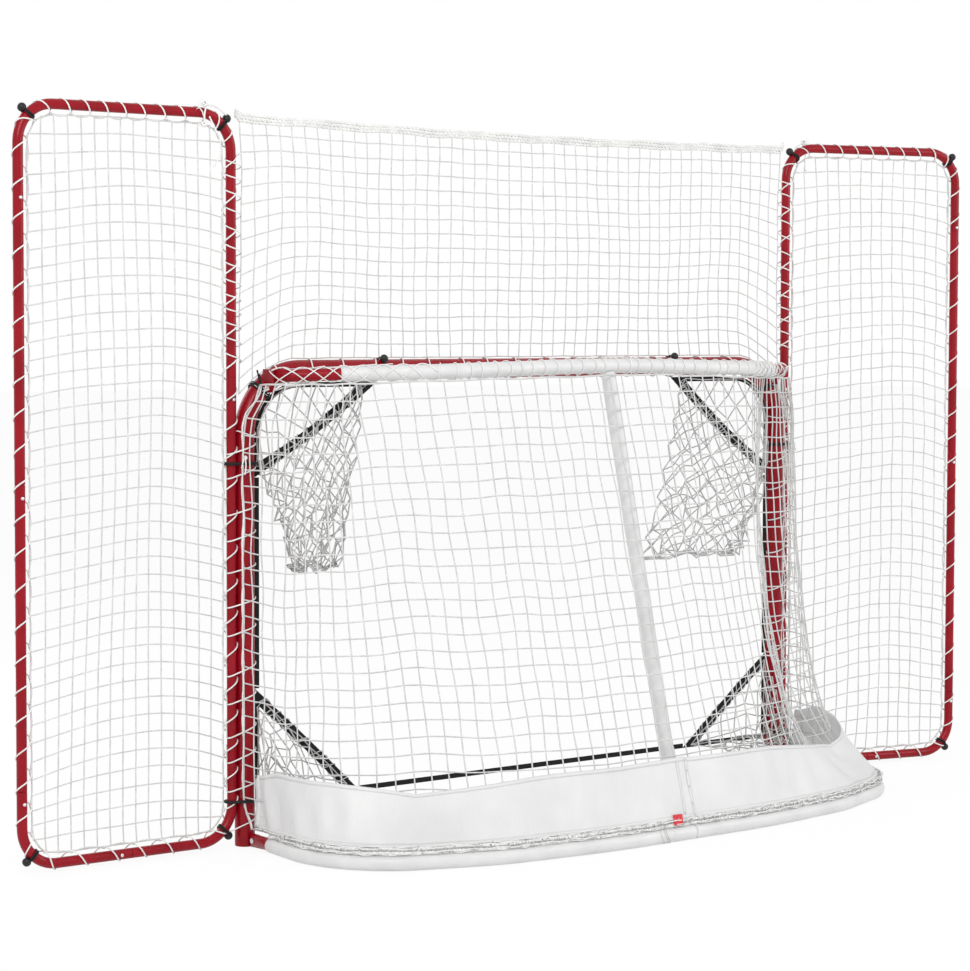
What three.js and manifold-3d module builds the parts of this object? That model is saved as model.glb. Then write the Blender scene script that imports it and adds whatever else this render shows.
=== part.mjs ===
// Ice hockey goal with a backstop and corner targets, in millimetres, +Z up.
// While it is built: x = 0 at the middle of the goal, y = 0 in the plane of the mouth, +y to the rear,
// z = 0 on the floor. At the end the whole goal is moved so that its origin is the middle of its base.
import * as THREE from "three";
import { mergeVertices } from "three/addons/utils/BufferGeometryUtils.js";
import Module from "manifold-3d";

// ---- Driving dimensions ------------------------------------------------------------------------

// Mouth frame: the red tube round the mouth.
const MOUTH_WIDTH = 1828.8;
const MOUTH_HEIGHT = 1165;
const POST_OD = 50.8;
const POST_WALL = 1.6;
const POST_BEND = 165;
const POST_SEAM_HEIGHT = 838;
const CROSSBAR_LENGTH = 640;
const POST_SPIGOT = 70;
const NECK_TAPER = 5;
const FOOT_PLATE = 2;

// Base rail: bent round the floor behind the mouth, in a white sleeve.
const RAIL_OD = 31.75;
const RAIL_WALL = 1.5;
const BASE_DEPTH = 642;
const BASE_CORNER_HALF_WIDTH = 988;
const BASE_CORNER_DEPTH = 455;
const BASE_CORNER_BEND = 270;
const BASE_SHOULDER_HALF_WIDTH = 600;
const BASE_SHOULDER_DEPTH = 601;
const BASE_SHOULDER_BEND = 500;
const BASE_REAR_HALF_WIDTH = 280;
const BASE_REAR_BEND = 1500;
const BASE_END_BEND = 120;
const BASE_BARE_LENGTH = 92;
const RAIL_SPIGOT = 60;
const SLEEVE_WALL = 2.4;

// Top shelf rail: bent round behind the crossbar, in a white sleeve.
const SHELF_DEPTH = 306;
const SHELF_HALF_WIDTH = 510;
const SHELF_FRONT_HEIGHT = 1178;
const SHELF_REAR_HEIGHT = 1190;
const SHELF_CROWN = 11;
const SHELF_CROWN_BEND = 4000;
const SHELF_BEND = 110;
const SHELF_END_BEND = 60;
const SHELF_BARE_LENGTH = 195;

// Centre bar between the two rails: straight down to a knee, then out to the base rail.
const CENTRE_BAR_OD = 28.6;
const CENTRE_KNEE_DEPTH = 548;
const CENTRE_KNEE_HEIGHT = 185;
const CENTRE_KNEE_BEND = 900;
const CENTRE_FOOT_INSET = 16;

// Flattened tube ends, their welded brackets and the bolts through them.
const TAB_LENGTH = 34;
const TAB_TAPER = 42;
const TAB_HALF_HEIGHT = 17.5;
const TAB_HALF_THICKNESS = 3.2;
const TAB_CLEARANCE = 4;
const BRACKET_THICKNESS = 4;
const BRACKET_HEIGHT = 32;
const BRACKET_REACH = 34;
const BOLT_DIAMETER = 8;
const BOLT_HEAD_WIDTH = 13;
const BOLT_HEAD_HEIGHT = 5;

// Backstop wings: a rounded rectangle of tube on each side, hung on its inner upright.
const WING_TUBE_OD = 25.4;
const WING_TUBE_WALL = 1.4;
const WING_WIDTH = 592;
const WING_HEIGHT = 1803.4;
const WING_BEND = 92;
const WING_FLOOR_GAP = 6;
const WING_SPIGOT = 50;
const WING_SEAM_LOW = 200;
const WING_SEAM_MIDDLE = 926;
const WING_SEAM_HIGH = 1633;
const WING_SEAM_INNER = 1121;
const LEFT_WING_SWEEP = -1.4;
const RIGHT_WING_SWEEP = 14.4;

// Nets: twine drawn square and coarse, and how far a net's edge stands off its tube.
const TWINE = 4;
const NET_STANDOFF = 8;
const WING_NET_COLUMNS = 3;
const WING_NET_ROWS = 9;
const BACKSTOP_NET_COLUMNS = 10;
const BACKSTOP_NET_ROWS = 3;
const BACK_NET_COLUMNS = 7;
const BACK_NET_ROWS = 6;
const SIDE_NET_COLUMNS = 3;
const SIDE_NET_ROWS = 6;
const SHELF_CREASE_LENGTH = 232;
const BASE_CREASE_SHORT = 15;
const CREASE_SAG = 133;
const CREASE_SAG_SKEW = 0.57;
const TOP_NET_COLUMNS = 8;
const TOP_NET_ROWS = 2;
const BAND_HEIGHT = 22;
const BAND_THICKNESS = 3;

// Skirt: the white sheet round the foot of the net, and its soft folds.
const SKIRT_START = 55;
const SKIRT_HEIGHT = 165;
const SKIRT_THICKNESS = 1.6;
const SKIRT_STANDOFF = 10;
const SKIRT_FOLD = 5;
const SKIRT_FOLD_LENGTH = 210;
const SKIRT_SEAM_GAP = 3;
const SKIRT_STEPS = 22;
const SKIRT_ROWS = 3;

// Targets: black webbing round the mouth, with a net pocket behind each corner.
const WEBBING_WIDTH = 25.4;
const WEBBING_THICKNESS = 3;
const WEBBING_EDGE = 13;
const UPPER_TARGET_REACH = 388;
const UPPER_LEFT_TARGET_DROP = 236;
const UPPER_RIGHT_TARGET_DROP = 288;
const LOWER_TARGET_REACH = 330;
const LOWER_LEFT_TARGET_RISE = 292;
const LOWER_RIGHT_TARGET_RISE = 250;
const BOTTOM_STRAP_HEIGHT = 107;
const POCKET_HOLLOW = 0.85;
const POCKET_FLOOR = 0.96;
const POCKET_RINGS = [0, 0.3, 0.65, 1];
const HANGING_BAG = { lift: 0, depth: 60, thickness: 70, bulge: 70 };
const UPPER_LEFT_POCKET = { ...HANGING_BAG, x: 768, z: 690, half: 75 };
const UPPER_RIGHT_POCKET = { ...HANGING_BAG, x: 520, z: 660, half: 168 };
const LOWER_POCKET = { x: 845, z: 60, half: 55, lift: 0.35, depth: 110, thickness: 0, bulge: 0 };

// Elastic ties: loops with a ball, round single tubes and round post and wing together.
const CORD_DIAMETER = 8;
const BALL_DIAMETER = 22;
const UPPER_TIE_HEIGHT = 960;
const LOWER_TIE_HEIGHT = 115;
const CROSSBAR_TIE_GAP = 10.4;

// Clearances.
const SLIP = 0.3;
const TOUCH = 0.4;
const TIE_SLACK = 1.6;
const WING_GAP = 0.6;

// Faces of each kind of tube, and the angle between two rings of a bend.
const POST_SIDES = 12;
const RAIL_SIDES = 8;
const SLEEVE_SIDES = 10;
const WING_SIDES = 8;
const BEND_STEP = THREE.MathUtils.degToRad(19);
const LOOP_STEPS = 10;
const CORD_SIDES = 4;

// ---- Derived places ----------------------------------------------------------------------------

const POST_R = POST_OD / 2;
const RAIL_R = RAIL_OD / 2;
const WING_R = WING_TUBE_OD / 2;
const CORD_R = CORD_DIAMETER / 2;
const SLEEVE_R = (RAIL_R + SLIP) / Math.cos(Math.PI / SLEEVE_SIDES) + SLEEVE_WALL;
const POST_X = MOUTH_WIDTH / 2 + POST_R;
const BAR_Z = MOUTH_HEIGHT + POST_R;
const SLEEVE_FLAT_R = SLEEVE_R * Math.cos(Math.PI / SLEEVE_SIDES);
const BASE_Z = SLEEVE_FLAT_R;
const WING_X = POST_X + POST_R + WING_GAP + WING_R;
const WING_FOOT_Z = WING_FLOOR_GAP + WING_R;
const BRACKET_X = POST_X - BRACKET_THICKNESS / 2;
const BOLT_Y = POST_R + TAB_CLEARANCE + TAB_LENGTH / 2;
const SHELF_TAB_X = POST_X - POST_BEND * (1 - Math.SQRT1_2) - TAB_HALF_THICKNESS - BRACKET_THICKNESS;
const SHELF_START_Y = POST_R + TAB_CLEARANCE;
const UP = new THREE.Vector3(0, 0, 1);
const REAR = new THREE.Vector3(0, 1, 0);

const vec = (x, y, z) => new THREE.Vector3(x, y, z);
const mix = THREE.MathUtils.lerp;

// ---- Materials ---------------------------------------------------------------------------------

const material = (colour, roughness, metalness) =>
  new THREE.MeshStandardMaterial({ color: colour, roughness, metalness });
const RED = material(0xb5202c, 0.3, 0.2);
const WHITE_FOAM = material(0xeeeeec, 0.6, 0);
const WHITE_VINYL = material(0xf2f2f0, 0.45, 0);
const WHITE_TWINE = material(0xe6e6e4, 0.85, 0);
const GREY_TWINE = material(0xb9bab8, 0.9, 0);
const BLACK_WEBBING = material(0x151516, 0.85, 0);
const BLACK_CORD = material(0x121213, 0.6, 0);
const ZINC = material(0xc8cacc, 0.35, 0.9);

// ---- Paths and solids --------------------------------------------------------------------------

// A route of straight runs joined by round bends. corners: [{at, bend}], the two ends without bends.
class BentPath {
  constructor(corners) {
    this.runs = [];
    this.bends = [];
    let from = corners[0].at;
    for (let i = 1; i < corners.length - 1; i++) {
      const { at, bend } = corners[i];
      const before = at.clone().sub(corners[i - 1].at).normalize();
      const after = corners[i + 1].at.clone().sub(at).normalize();
      const turn = before.angleTo(after);
      const cut = bend * Math.tan(turn / 2);
      const start = at.clone().addScaledVector(before, -cut);
      this.addRun(from, start);
      this.addBend(start, before, after, turn, bend);
      from = at.clone().addScaledVector(after, cut);
    }
    this.addRun(from, corners[corners.length - 1].at);
  }

  get length() {
    const last = this.runs[this.runs.length - 1];
    return last.s + last.length;
  }

  addRun(from, to) {
    const s = this.runs.length ? this.length : 0;
    const length = from.distanceTo(to);
    const tangent = to.clone().sub(from).normalize();
    const at = (d) => from.clone().addScaledVector(tangent, d);
    this.runs.push({ s, length, steps: 1, at, tangentAt: () => tangent.clone() });
  }

  addBend(start, before, after, turn, bend) {
    const axis = before.clone().cross(after).normalize();
    const inward = axis.clone().cross(before);
    const centre = start.clone().addScaledVector(inward, bend);
    const spoke = start.clone().sub(centre);
    const at = (d) => centre.clone().add(spoke.clone().applyAxisAngle(axis, d / bend));
    const tangentAt = (d) => before.clone().applyAxisAngle(axis, d / bend);
    const run = { s: this.length, length: turn * bend, at, tangentAt };
    run.steps = Math.max(1, Math.round(turn / BEND_STEP));
    this.runs.push(run);
    this.bends.push({ enter: run.s, leave: run.s + run.length });
  }

  station(s) {
    const inside = (r) => s <= r.s + r.length + 1e-6;
    const run = this.runs.find(inside) || this.runs[this.runs.length - 1];
    return { s, point: run.at(s - run.s), tangent: run.tangentAt(s - run.s) };
  }

  // The stations from one length to another: both ends, every ring of each bend, and any extra ones.
  stations(from = 0, to = this.length, extra = []) {
    const marks = [from, to, ...extra];
    for (const run of this.runs) {
      for (let k = 0; k <= run.steps; k++) marks.push(run.s + (run.length * k) / run.steps);
    }
    const inside = marks.filter((s) => s >= from - 1e-6 && s <= to + 1e-6).sort((a, b) => a - b);
    const spaced = inside.filter((s, i) => i === 0 || s - inside[i - 1] > 0.05);
    return spaced.map((s) => this.station(s));
  }
}

// A geometry from points and triangles, turned inside out if its faces look inwards.
function closedBody(points, faces) {
  let volume = 0;
  for (let i = 0; i < faces.length; i += 3) {
    const [a, b, c] = [0, 1, 2].map((k) => points[faces[i + k]]);
    volume += a.dot(b.clone().cross(c));
  }
  if (volume < 0) faces.reverse();
  const geometry = new THREE.BufferGeometry();
  const flat = new Float32Array(points.flatMap((p) => [p.x, p.y, p.z]));
  geometry.setAttribute("position", new THREE.BufferAttribute(flat, 3));
  geometry.setIndex(faces);
  geometry.computeVertexNormals();
  return geometry;
}

// A closed body from rings of equal count that run the same way round. With inner rings it is a tube
// with a wall, and without them its ends are closed. In a thin sheet the second half of each ring is
// the back of the first, and is split along the same diagonals, so that the two never cross.
function loft(outer, inner = null, { sheet = false } = {}) {
  const sides = outer[0].length;
  const points = [];
  const faces = [];
  const quad = (a, b, c, d) => faces.push(a, b, c, a, c, d);
  const skin = (rings, outward) => {
    const base = points.length;
    rings.forEach((ring) => points.push(...ring));
    for (let i = 0; i + 1 < rings.length; i++) {
      for (let k = 0; k < sides; k++) {
        const a = base + i * sides + k;
        const b = base + i * sides + ((k + 1) % sides);
        if (sheet && k >= sides / 2) quad(b, b + sides, a + sides, a);
        else if (outward) quad(a, b, b + sides, a + sides);
        else quad(a, a + sides, b + sides, b);
      }
    }
    return base;
  };
  const out = skin(outer, true);
  const last = (outer.length - 1) * sides;
  if (inner) {
    const inn = skin(inner, false);
    for (let k = 0; k < sides; k++) {
      const n = (k + 1) % sides;
      quad(out + k, inn + k, inn + n, out + n);
      quad(out + last + k, out + last + n, inn + last + n, inn + last + k);
    }
  } else {
    for (let k = 1; k + 1 < sides; k++) {
      faces.push(out, out + k + 1, out + k);
      faces.push(out + last, out + last + k, out + last + k + 1);
    }
  }
  return closedBody(points, faces);
}

// A ring of points round a station. The two half sizes lie along the reference axis and across it,
// and the ring has a flat side down and up that axis.
function ringAt({ point, tangent }, reference, sides, half, halfAcross = half) {
  const n = reference.clone().addScaledVector(tangent, -reference.dot(tangent)).normalize();
  const b = tangent.clone().cross(n);
  return Array.from({ length: sides }, (_, k) => {
    const turn = (2 * Math.PI * (k + 0.5)) / sides;
    return point
      .clone()
      .addScaledVector(n, half * Math.cos(turn))
      .addScaledVector(b, halfAcross * Math.sin(turn));
  });
}

// A round tube along a path. start and end are the lengths of spigots that are drawn down to enter
// the next tube; each drawn-down neck lies just inside the seam.
function roundTube(path, { from = 0, to = path.length, r, wall, sides, up, start = 0, end = 0 }) {
  const necked = r - wall - SLIP;
  const taper = NECK_TAPER;
  const radius = (s) => {
    const fromEnd = s - (to - taper);
    const fromStart = from + taper - s;
    const drawn = Math.max(end ? fromEnd : 0, start ? fromStart : 0, 0);
    return mix(r, necked, Math.min(1, drawn / taper));
  };
  const extra = [];
  if (end) extra.push(to - taper, to);
  if (start) extra.push(from, from + taper);
  const list = path.stations(from - start, to + end, extra);
  const outer = list.map((st) => ringAt(st, up, sides, radius(st.s)));
  const inner = list.map((st) => ringAt(st, up, sides, radius(st.s) - wall));
  return loft(outer, inner);
}

// A tube with one or both ends pressed flat, for a bolt.
function flatEndTube(path, { to = path.length, r, wall, sides, up, flatEnd = false, spigot = 0 }) {
  const necked = r - wall - SLIP;
  const taper = NECK_TAPER;
  const flatness = (s) => {
    const fromEnd = flatEnd ? Math.min(s, to - s) : s;
    return 1 - THREE.MathUtils.smoothstep(fromEnd, TAB_LENGTH, TAB_LENGTH + TAB_TAPER);
  };
  const drawn = (s) => (spigot ? THREE.MathUtils.clamp((s - to + taper) / taper, 0, 1) : 0);
  const radius = (s) => mix(r, necked, drawn(s));
  const press = [0, 0.35, 0.65, 1].map((share) => TAB_LENGTH + TAB_TAPER * share);
  const extra = flatEnd ? [...press, ...press.map((s) => to - s)] : press;
  if (spigot) extra.push(to - taper, to);
  const list = path.stations(0, to + spigot, extra);
  const ring = (st, skin) => {
    const flat = flatness(st.s);
    const high = mix(radius(st.s), TAB_HALF_HEIGHT, flat) - skin;
    const wide = mix(radius(st.s), TAB_HALF_THICKNESS, flat) - skin;
    return ringAt(st, up, sides, high, wide);
  };
  return loft(
    list.map((st) => ring(st, 0)),
    list.map((st) => ring(st, wall)),
  );
}

// A solid bar along a path.
function rod(path, { from = 0, to = path.length, r, sides, up }) {
  return loft(path.stations(from, to).map((st) => ringAt(st, up, sides, r)));
}

const wasm = await Module();
wasm.setup();

function toSolid(geometry) {
  const bare = geometry.clone();
  bare.deleteAttribute("normal");
  bare.deleteAttribute("uv");
  const merged = mergeVertices(bare, 1e-4);
  const vertProperties = Float32Array.from(merged.attributes.position.array);
  const triVerts = Uint32Array.from(merged.index.array);
  return new wasm.Manifold(new wasm.Mesh({ numProp: 3, vertProperties, triVerts }));
}

function fromSolid(solid) {
  const { vertProperties, triVerts } = solid.getMesh();
  const geometry = new THREE.BufferGeometry();
  geometry.setAttribute("position", new THREE.BufferAttribute(vertProperties, 3));
  geometry.setIndex(new THREE.BufferAttribute(triVerts, 1));
  geometry.computeVertexNormals();
  return geometry;
}

const join = (...shapes) => fromSolid(shapes.map(toSolid).reduce((a, b) => a.add(b)));
const cut = (shape, ...tools) => {
  return fromSolid(tools.map(toSolid).reduce((a, b) => a.subtract(b), toSolid(shape)));
};

const box = (low, high) => {
  const size = high.clone().sub(low);
  const middle = low.clone().add(high).multiplyScalar(0.5);
  return new THREE.BoxGeometry(size.x, size.y, size.z).translate(middle.x, middle.y, middle.z);
};

// A cylinder along X.
const pinAlongX = (at, radius, length, sides) => {
  const pin = new THREE.CylinderGeometry(radius, radius, length, sides);
  return pin.rotateZ(Math.PI / 2).translate(at.x, at.y, at.z);
};

// A flat outline with a hole, whichever way round their points are given.
function outlineWithHole(outline, hole) {
  const turned = (points, clockwise) => {
    return THREE.ShapeUtils.isClockWise(points) === clockwise ? points : points.slice().reverse();
  };
  const shape = new THREE.Shape(turned(outline, false));
  shape.holes.push(new THREE.Path(turned(hole, true)));
  return shape;
}

// The same shape on the other side of the goal.
function mirrored(geometry) {
  const { position } = geometry.attributes;
  const points = Array.from({ length: position.count }, (_, i) => {
    return vec(-position.getX(i), position.getY(i), position.getZ(i));
  });
  return closedBody(points, Array.from(geometry.index.array));
}

const goal = new THREE.Group();

function piece(name, geometry, finish, parent = goal) {
  const mesh = new THREE.Mesh(geometry, finish);
  mesh.name = name;
  parent.add(mesh);
  return mesh;
}

const sides = [
  { name: "left", sign: 1, sweep: LEFT_WING_SWEEP },
  { name: "right", sign: -1, sweep: RIGHT_WING_SWEEP },
];

// ---- Mouth frame -------------------------------------------------------------------------------

// One path from the left foot, over the crossbar, to the right foot.
const framePath = new BentPath([
  { at: vec(POST_X, 0, 0) },
  { at: vec(POST_X, 0, BAR_Z), bend: POST_BEND },
  { at: vec(-POST_X, 0, BAR_Z), bend: POST_BEND },
  { at: vec(-POST_X, 0, 0) },
]);
const FRAME_LENGTH = framePath.length;
const barStart = FRAME_LENGTH / 2 - CROSSBAR_LENGTH / 2;
const frameTube = { r: POST_R, wall: POST_WALL, sides: POST_SIDES, up: REAR };
const baseBoltAt = (sign) => vec(sign * BRACKET_X, BOLT_Y, BASE_Z);

// A lower post: closed by a plate at the foot, with a bracket for the base rail welded behind it.
function lowerPost(sign) {
  const at = sign > 0 ? (s) => s : (s) => FRAME_LENGTH - s;
  const ends = [at(0), at(POST_SEAM_HEIGHT)].sort((a, b) => a - b);
  const tube = roundTube(framePath, { ...frameTube, from: ends[0], to: ends[1] });
  const plateR = POST_R - POST_WALL / 2;
  const plate = new THREE.CylinderGeometry(plateR, plateR, FOOT_PLATE, POST_SIDES)
    .rotateY(Math.PI / POST_SIDES)
    .rotateX(Math.PI / 2)
    .translate(sign * POST_X, 0, FOOT_PLATE / 2);
  const bolt = baseBoltAt(sign);
  const halfHeight = BRACKET_HEIGHT / 2;
  const bracket = box(
    vec(bolt.x - BRACKET_THICKNESS / 2, POST_R - POST_WALL, BASE_Z - halfHeight),
    vec(bolt.x + BRACKET_THICKNESS / 2, POST_R + BRACKET_REACH, BASE_Z + halfHeight),
  );
  const hole = pinAlongX(bolt, BOLT_DIAMETER / 2 + SLIP, BRACKET_THICKNESS * 4, 10);
  return cut(join(tube, plate, bracket), hole);
}

// A corner: the upper post, the bend and the start of the crossbar, with a spigot down into the post
// and a bracket for the shelf rail welded behind the bend.
function corner(sign) {
  const seam = POST_SEAM_HEIGHT + SLIP;
  const leftRange = { from: seam, to: barStart, start: POST_SPIGOT };
  const rightRange = { from: FRAME_LENGTH - barStart, to: FRAME_LENGTH - seam, end: POST_SPIGOT };
  const tube = roundTube(framePath, { ...frameTube, ...(sign > 0 ? leftRange : rightRange) });
  const near = sign * (SHELF_TAB_X + TAB_HALF_THICKNESS + SLIP);
  const far = near + sign * BRACKET_THICKNESS;
  const bendZ = BAR_Z - POST_BEND * (1 - Math.SQRT1_2);
  const low = Math.min(bendZ, SHELF_FRONT_HEIGHT - TAB_HALF_HEIGHT - POST_R);
  const high = Math.max(bendZ, SHELF_FRONT_HEIGHT + BRACKET_HEIGHT / 2);
  const bracket = box(
    vec(Math.min(near, far), POST_R / 2, low),
    vec(Math.max(near, far), POST_R + BRACKET_REACH, high),
  );
  const half = sign > 0 ? { to: FRAME_LENGTH / 2 } : { from: FRAME_LENGTH / 2 };
  const bore = rod(framePath, { ...frameTube, ...half, r: POST_R - POST_WALL });
  return join(tube, cut(bracket, bore));
}

for (const { name, sign } of sides) {
  piece(`post_${name}`, lowerPost(sign), RED);
  piece(`corner_${name}`, corner(sign), RED);
}
const barRange = { from: barStart + SLIP, to: FRAME_LENGTH - barStart - SLIP };
const barSpigots = { start: POST_SPIGOT, end: POST_SPIGOT };
piece("crossbar", roundTube(framePath, { ...frameTube, ...barRange, ...barSpigots }), RED);

// ---- Base rail ---------------------------------------------------------------------------------

// The rail's middle line, at floor level, from one post's bracket round the rear to the other's.
const baseTabX = BRACKET_X + BRACKET_THICKNESS / 2 + SLIP + TAB_HALF_THICKNESS;
const baseStartY = POST_R + TAB_CLEARANCE;
const baseCorners = [
  { at: vec(baseTabX, baseStartY, BASE_Z) },
  { at: vec(baseTabX, baseStartY + TAB_LENGTH + TAB_TAPER, BASE_Z), bend: BASE_END_BEND },
  { at: vec(BASE_CORNER_HALF_WIDTH, BASE_CORNER_DEPTH, BASE_Z), bend: BASE_CORNER_BEND },
  { at: vec(BASE_SHOULDER_HALF_WIDTH, BASE_SHOULDER_DEPTH, BASE_Z), bend: BASE_SHOULDER_BEND },
  { at: vec(BASE_REAR_HALF_WIDTH, BASE_DEPTH, BASE_Z), bend: BASE_REAR_BEND },
];
const acrossGoal = ({ at, bend }) => ({ at: vec(-at.x, at.y, at.z), bend });
const basePath = new BentPath([...baseCorners, ...baseCorners.map(acrossGoal).reverse()]);
const BASE_MIDDLE = basePath.length / 2;

// The radius at which a sleeve's bore clears a tube on its flats as well as on its corners.
const boreRound = (r) => (r + SLIP) / Math.cos(Math.PI / SLEEVE_SIDES);
const railTube = { r: RAIL_R, wall: RAIL_WALL, sides: RAIL_SIDES, up: UP };
const sleeveTube = { r: SLEEVE_R, wall: SLEEVE_R - boreRound(RAIL_R), sides: SLEEVE_SIDES, up: UP };
const boltHole = (at) => pinAlongX(at, BOLT_DIAMETER / 2 + SLIP, TAB_HALF_THICKNESS * 8, 10);
const baseHole = boltHole(vec(baseTabX, baseBoltAt(1).y, BASE_Z));
const armWithSpigot = flatEndTube(basePath, { ...railTube, to: BASE_MIDDLE - SLIP, spigot: RAIL_SPIGOT });
const plainArm = flatEndTube(basePath, { ...railTube, to: BASE_MIDDLE - SLIP });
piece("base_arm_left", cut(armWithSpigot, baseHole), RED);
piece("base_arm_right", mirrored(cut(plainArm, baseHole)), RED);
const halfSleeve = roundTube(basePath, { ...sleeveTube, from: BASE_BARE_LENGTH, to: BASE_MIDDLE - SLIP });
piece("base_sleeve_left", halfSleeve, WHITE_FOAM);
piece("base_sleeve_right", mirrored(halfSleeve), WHITE_FOAM);

// The bolt that holds each arm's flat end to its post: hexagon head, shank and nut.
function baseBolt(sign) {
  const headAt = TAB_HALF_THICKNESS * 2 + BRACKET_THICKNESS / 2 + SLIP * 2 + BOLT_HEAD_HEIGHT / 2;
  const nutAt = BRACKET_THICKNESS / 2 + SLIP + BOLT_HEAD_HEIGHT / 2;
  const at = baseBoltAt(sign);
  const along = (distance) => vec(at.x + sign * distance, at.y, at.z);
  const hexagon = BOLT_HEAD_WIDTH / Math.sqrt(3);
  const shank = headAt + nutAt + BOLT_HEAD_HEIGHT;
  return join(
    pinAlongX(along(headAt), hexagon, BOLT_HEAD_HEIGHT, 6),
    pinAlongX(along((headAt - nutAt) / 2), BOLT_DIAMETER / 2, shank, 8),
    pinAlongX(along(-nutAt), hexagon, BOLT_HEAD_HEIGHT, 6),
  );
}
for (const { name, sign } of sides) piece(`base_bolt_${name}`, baseBolt(sign), ZINC);

// ---- Top shelf rail ----------------------------------------------------------------------------

const SHELF_TURN_Y = SHELF_START_Y + TAB_LENGTH + TAB_TAPER / 2;
const shelfCorners = [
  { at: vec(SHELF_TAB_X, SHELF_START_Y, SHELF_FRONT_HEIGHT) },
  { at: vec(SHELF_TAB_X, SHELF_TURN_Y, SHELF_FRONT_HEIGHT), bend: SHELF_END_BEND },
  { at: vec(SHELF_HALF_WIDTH, SHELF_DEPTH, SHELF_REAR_HEIGHT), bend: SHELF_BEND },
];
const shelfPath = new BentPath([
  ...shelfCorners,
  { at: vec(0, SHELF_DEPTH, SHELF_REAR_HEIGHT + SHELF_CROWN), bend: SHELF_CROWN_BEND },
  ...shelfCorners.map(acrossGoal).reverse(),
]);
piece("shelf_rail", flatEndTube(shelfPath, { ...railTube, flatEnd: true }), RED);
const shelfBare = SHELF_BARE_LENGTH;
piece(
  "shelf_sleeve",
  roundTube(shelfPath, { ...sleeveTube, from: shelfBare, to: shelfPath.length - shelfBare }),
  WHITE_FOAM,
);

// ---- Centre bar --------------------------------------------------------------------------------

// Both ends are cut to saddle the sleeves that they meet.
const centrePath = new BentPath([
  { at: shelfPath.station(shelfPath.length / 2).point },
  { at: vec(0, CENTRE_KNEE_DEPTH, CENTRE_KNEE_HEIGHT), bend: CENTRE_KNEE_BEND },
  { at: basePath.station(BASE_MIDDLE).point.add(vec(0, -CENTRE_FOOT_INSET, 0)) },
]);
const saddleTube = { r: SLEEVE_R + TOUCH, sides: SLEEVE_SIDES, up: UP };
const saddles = [shelfPath, basePath].map((path) => rod(path, saddleTube));
const centreTube = { r: CENTRE_BAR_OD / 2, wall: RAIL_WALL, sides: RAIL_SIDES, up: REAR };
const centreWall = SLEEVE_R - boreRound(centreTube.r);
const centreSleeve = { ...centreTube, r: SLEEVE_R, wall: centreWall, sides: SLEEVE_SIDES };
piece("centre_bar", cut(roundTube(centrePath, centreTube), ...saddles), RED);
piece("centre_sleeve", cut(roundTube(centrePath, centreSleeve), ...saddles), WHITE_FOAM);

// ---- Wings -------------------------------------------------------------------------------------

// A wing's own frame has x outward from its inner upright and z up, with the upright on x = 0. Its
// tube is one loop from the middle of the bottom rail, out, up, in and down again.
const WING_TOP_Z = WING_FOOT_Z + WING_HEIGHT;
const wingMiddle = vec(WING_WIDTH / 2, 0, WING_FOOT_Z);
const wingPath = new BentPath([
  { at: wingMiddle },
  { at: vec(WING_WIDTH, 0, WING_FOOT_Z), bend: WING_BEND },
  { at: vec(WING_WIDTH, 0, WING_TOP_Z), bend: WING_BEND },
  { at: vec(0, 0, WING_TOP_Z), bend: WING_BEND },
  { at: vec(0, 0, WING_FOOT_Z), bend: WING_BEND },
  { at: wingMiddle },
]);
const outerAt = (z) => wingPath.bends[0].leave + z - WING_FOOT_Z - WING_BEND;
const innerAt = (z) => wingPath.bends[2].leave + WING_TOP_Z - WING_BEND - z;
const wingPieces = [
  { name: "foot_outer", from: 0, to: outerAt(WING_SEAM_LOW) },
  { name: "upright_lower", from: outerAt(WING_SEAM_LOW), to: outerAt(WING_SEAM_MIDDLE) },
  { name: "upright_upper", from: outerAt(WING_SEAM_MIDDLE), to: outerAt(WING_SEAM_HIGH) },
  { name: "top_bow", from: outerAt(WING_SEAM_HIGH), to: innerAt(WING_SEAM_INNER) },
  { name: "foot_inner", from: innerAt(WING_SEAM_INNER), to: wingPath.length - SLIP },
];
const wingTube = { r: WING_R, wall: WING_TUBE_WALL, sides: WING_SIDES, up: REAR };

// ---- Ball ties ---------------------------------------------------------------------------------

// How far a tie round a bar of radius r reaches from the bar's middle, and where a net clears it.
const tieReach = (r) => (r + TIE_SLACK) / Math.cos(Math.PI / LOOP_STEPS) + CORD_DIAMETER;
const netClear = (r) => tieReach(r) + TOUCH + TWINE / 2;

// An elastic loop round a round bar of radius r that lies along z, with its ball outside it on +x.
function ballTie(r) {
  const loopR = tieReach(r) - CORD_R;
  const ring = new THREE.TorusGeometry(loopR, CORD_R, CORD_SIDES, LOOP_STEPS);
  const ball = new THREE.SphereGeometry(BALL_DIAMETER / 2, 8, 5).rotateX(Math.PI / 2);
  ball.translate(loopR + BALL_DIAMETER / 2, 0, 0);
  return join(ring, ball);
}

// Places a ball tie round a path at a station, with its ball towards a direction.
function placeTie(mesh, { point, tangent }, towards) {
  const x = towards.clone().addScaledVector(tangent, -towards.dot(tangent)).normalize();
  const y = tangent.clone().cross(x);
  mesh.position.copy(point);
  mesh.quaternion.setFromRotationMatrix(new THREE.Matrix4().makeBasis(x, y, tangent));
}

// ---- Nets --------------------------------------------------------------------------------------

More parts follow.
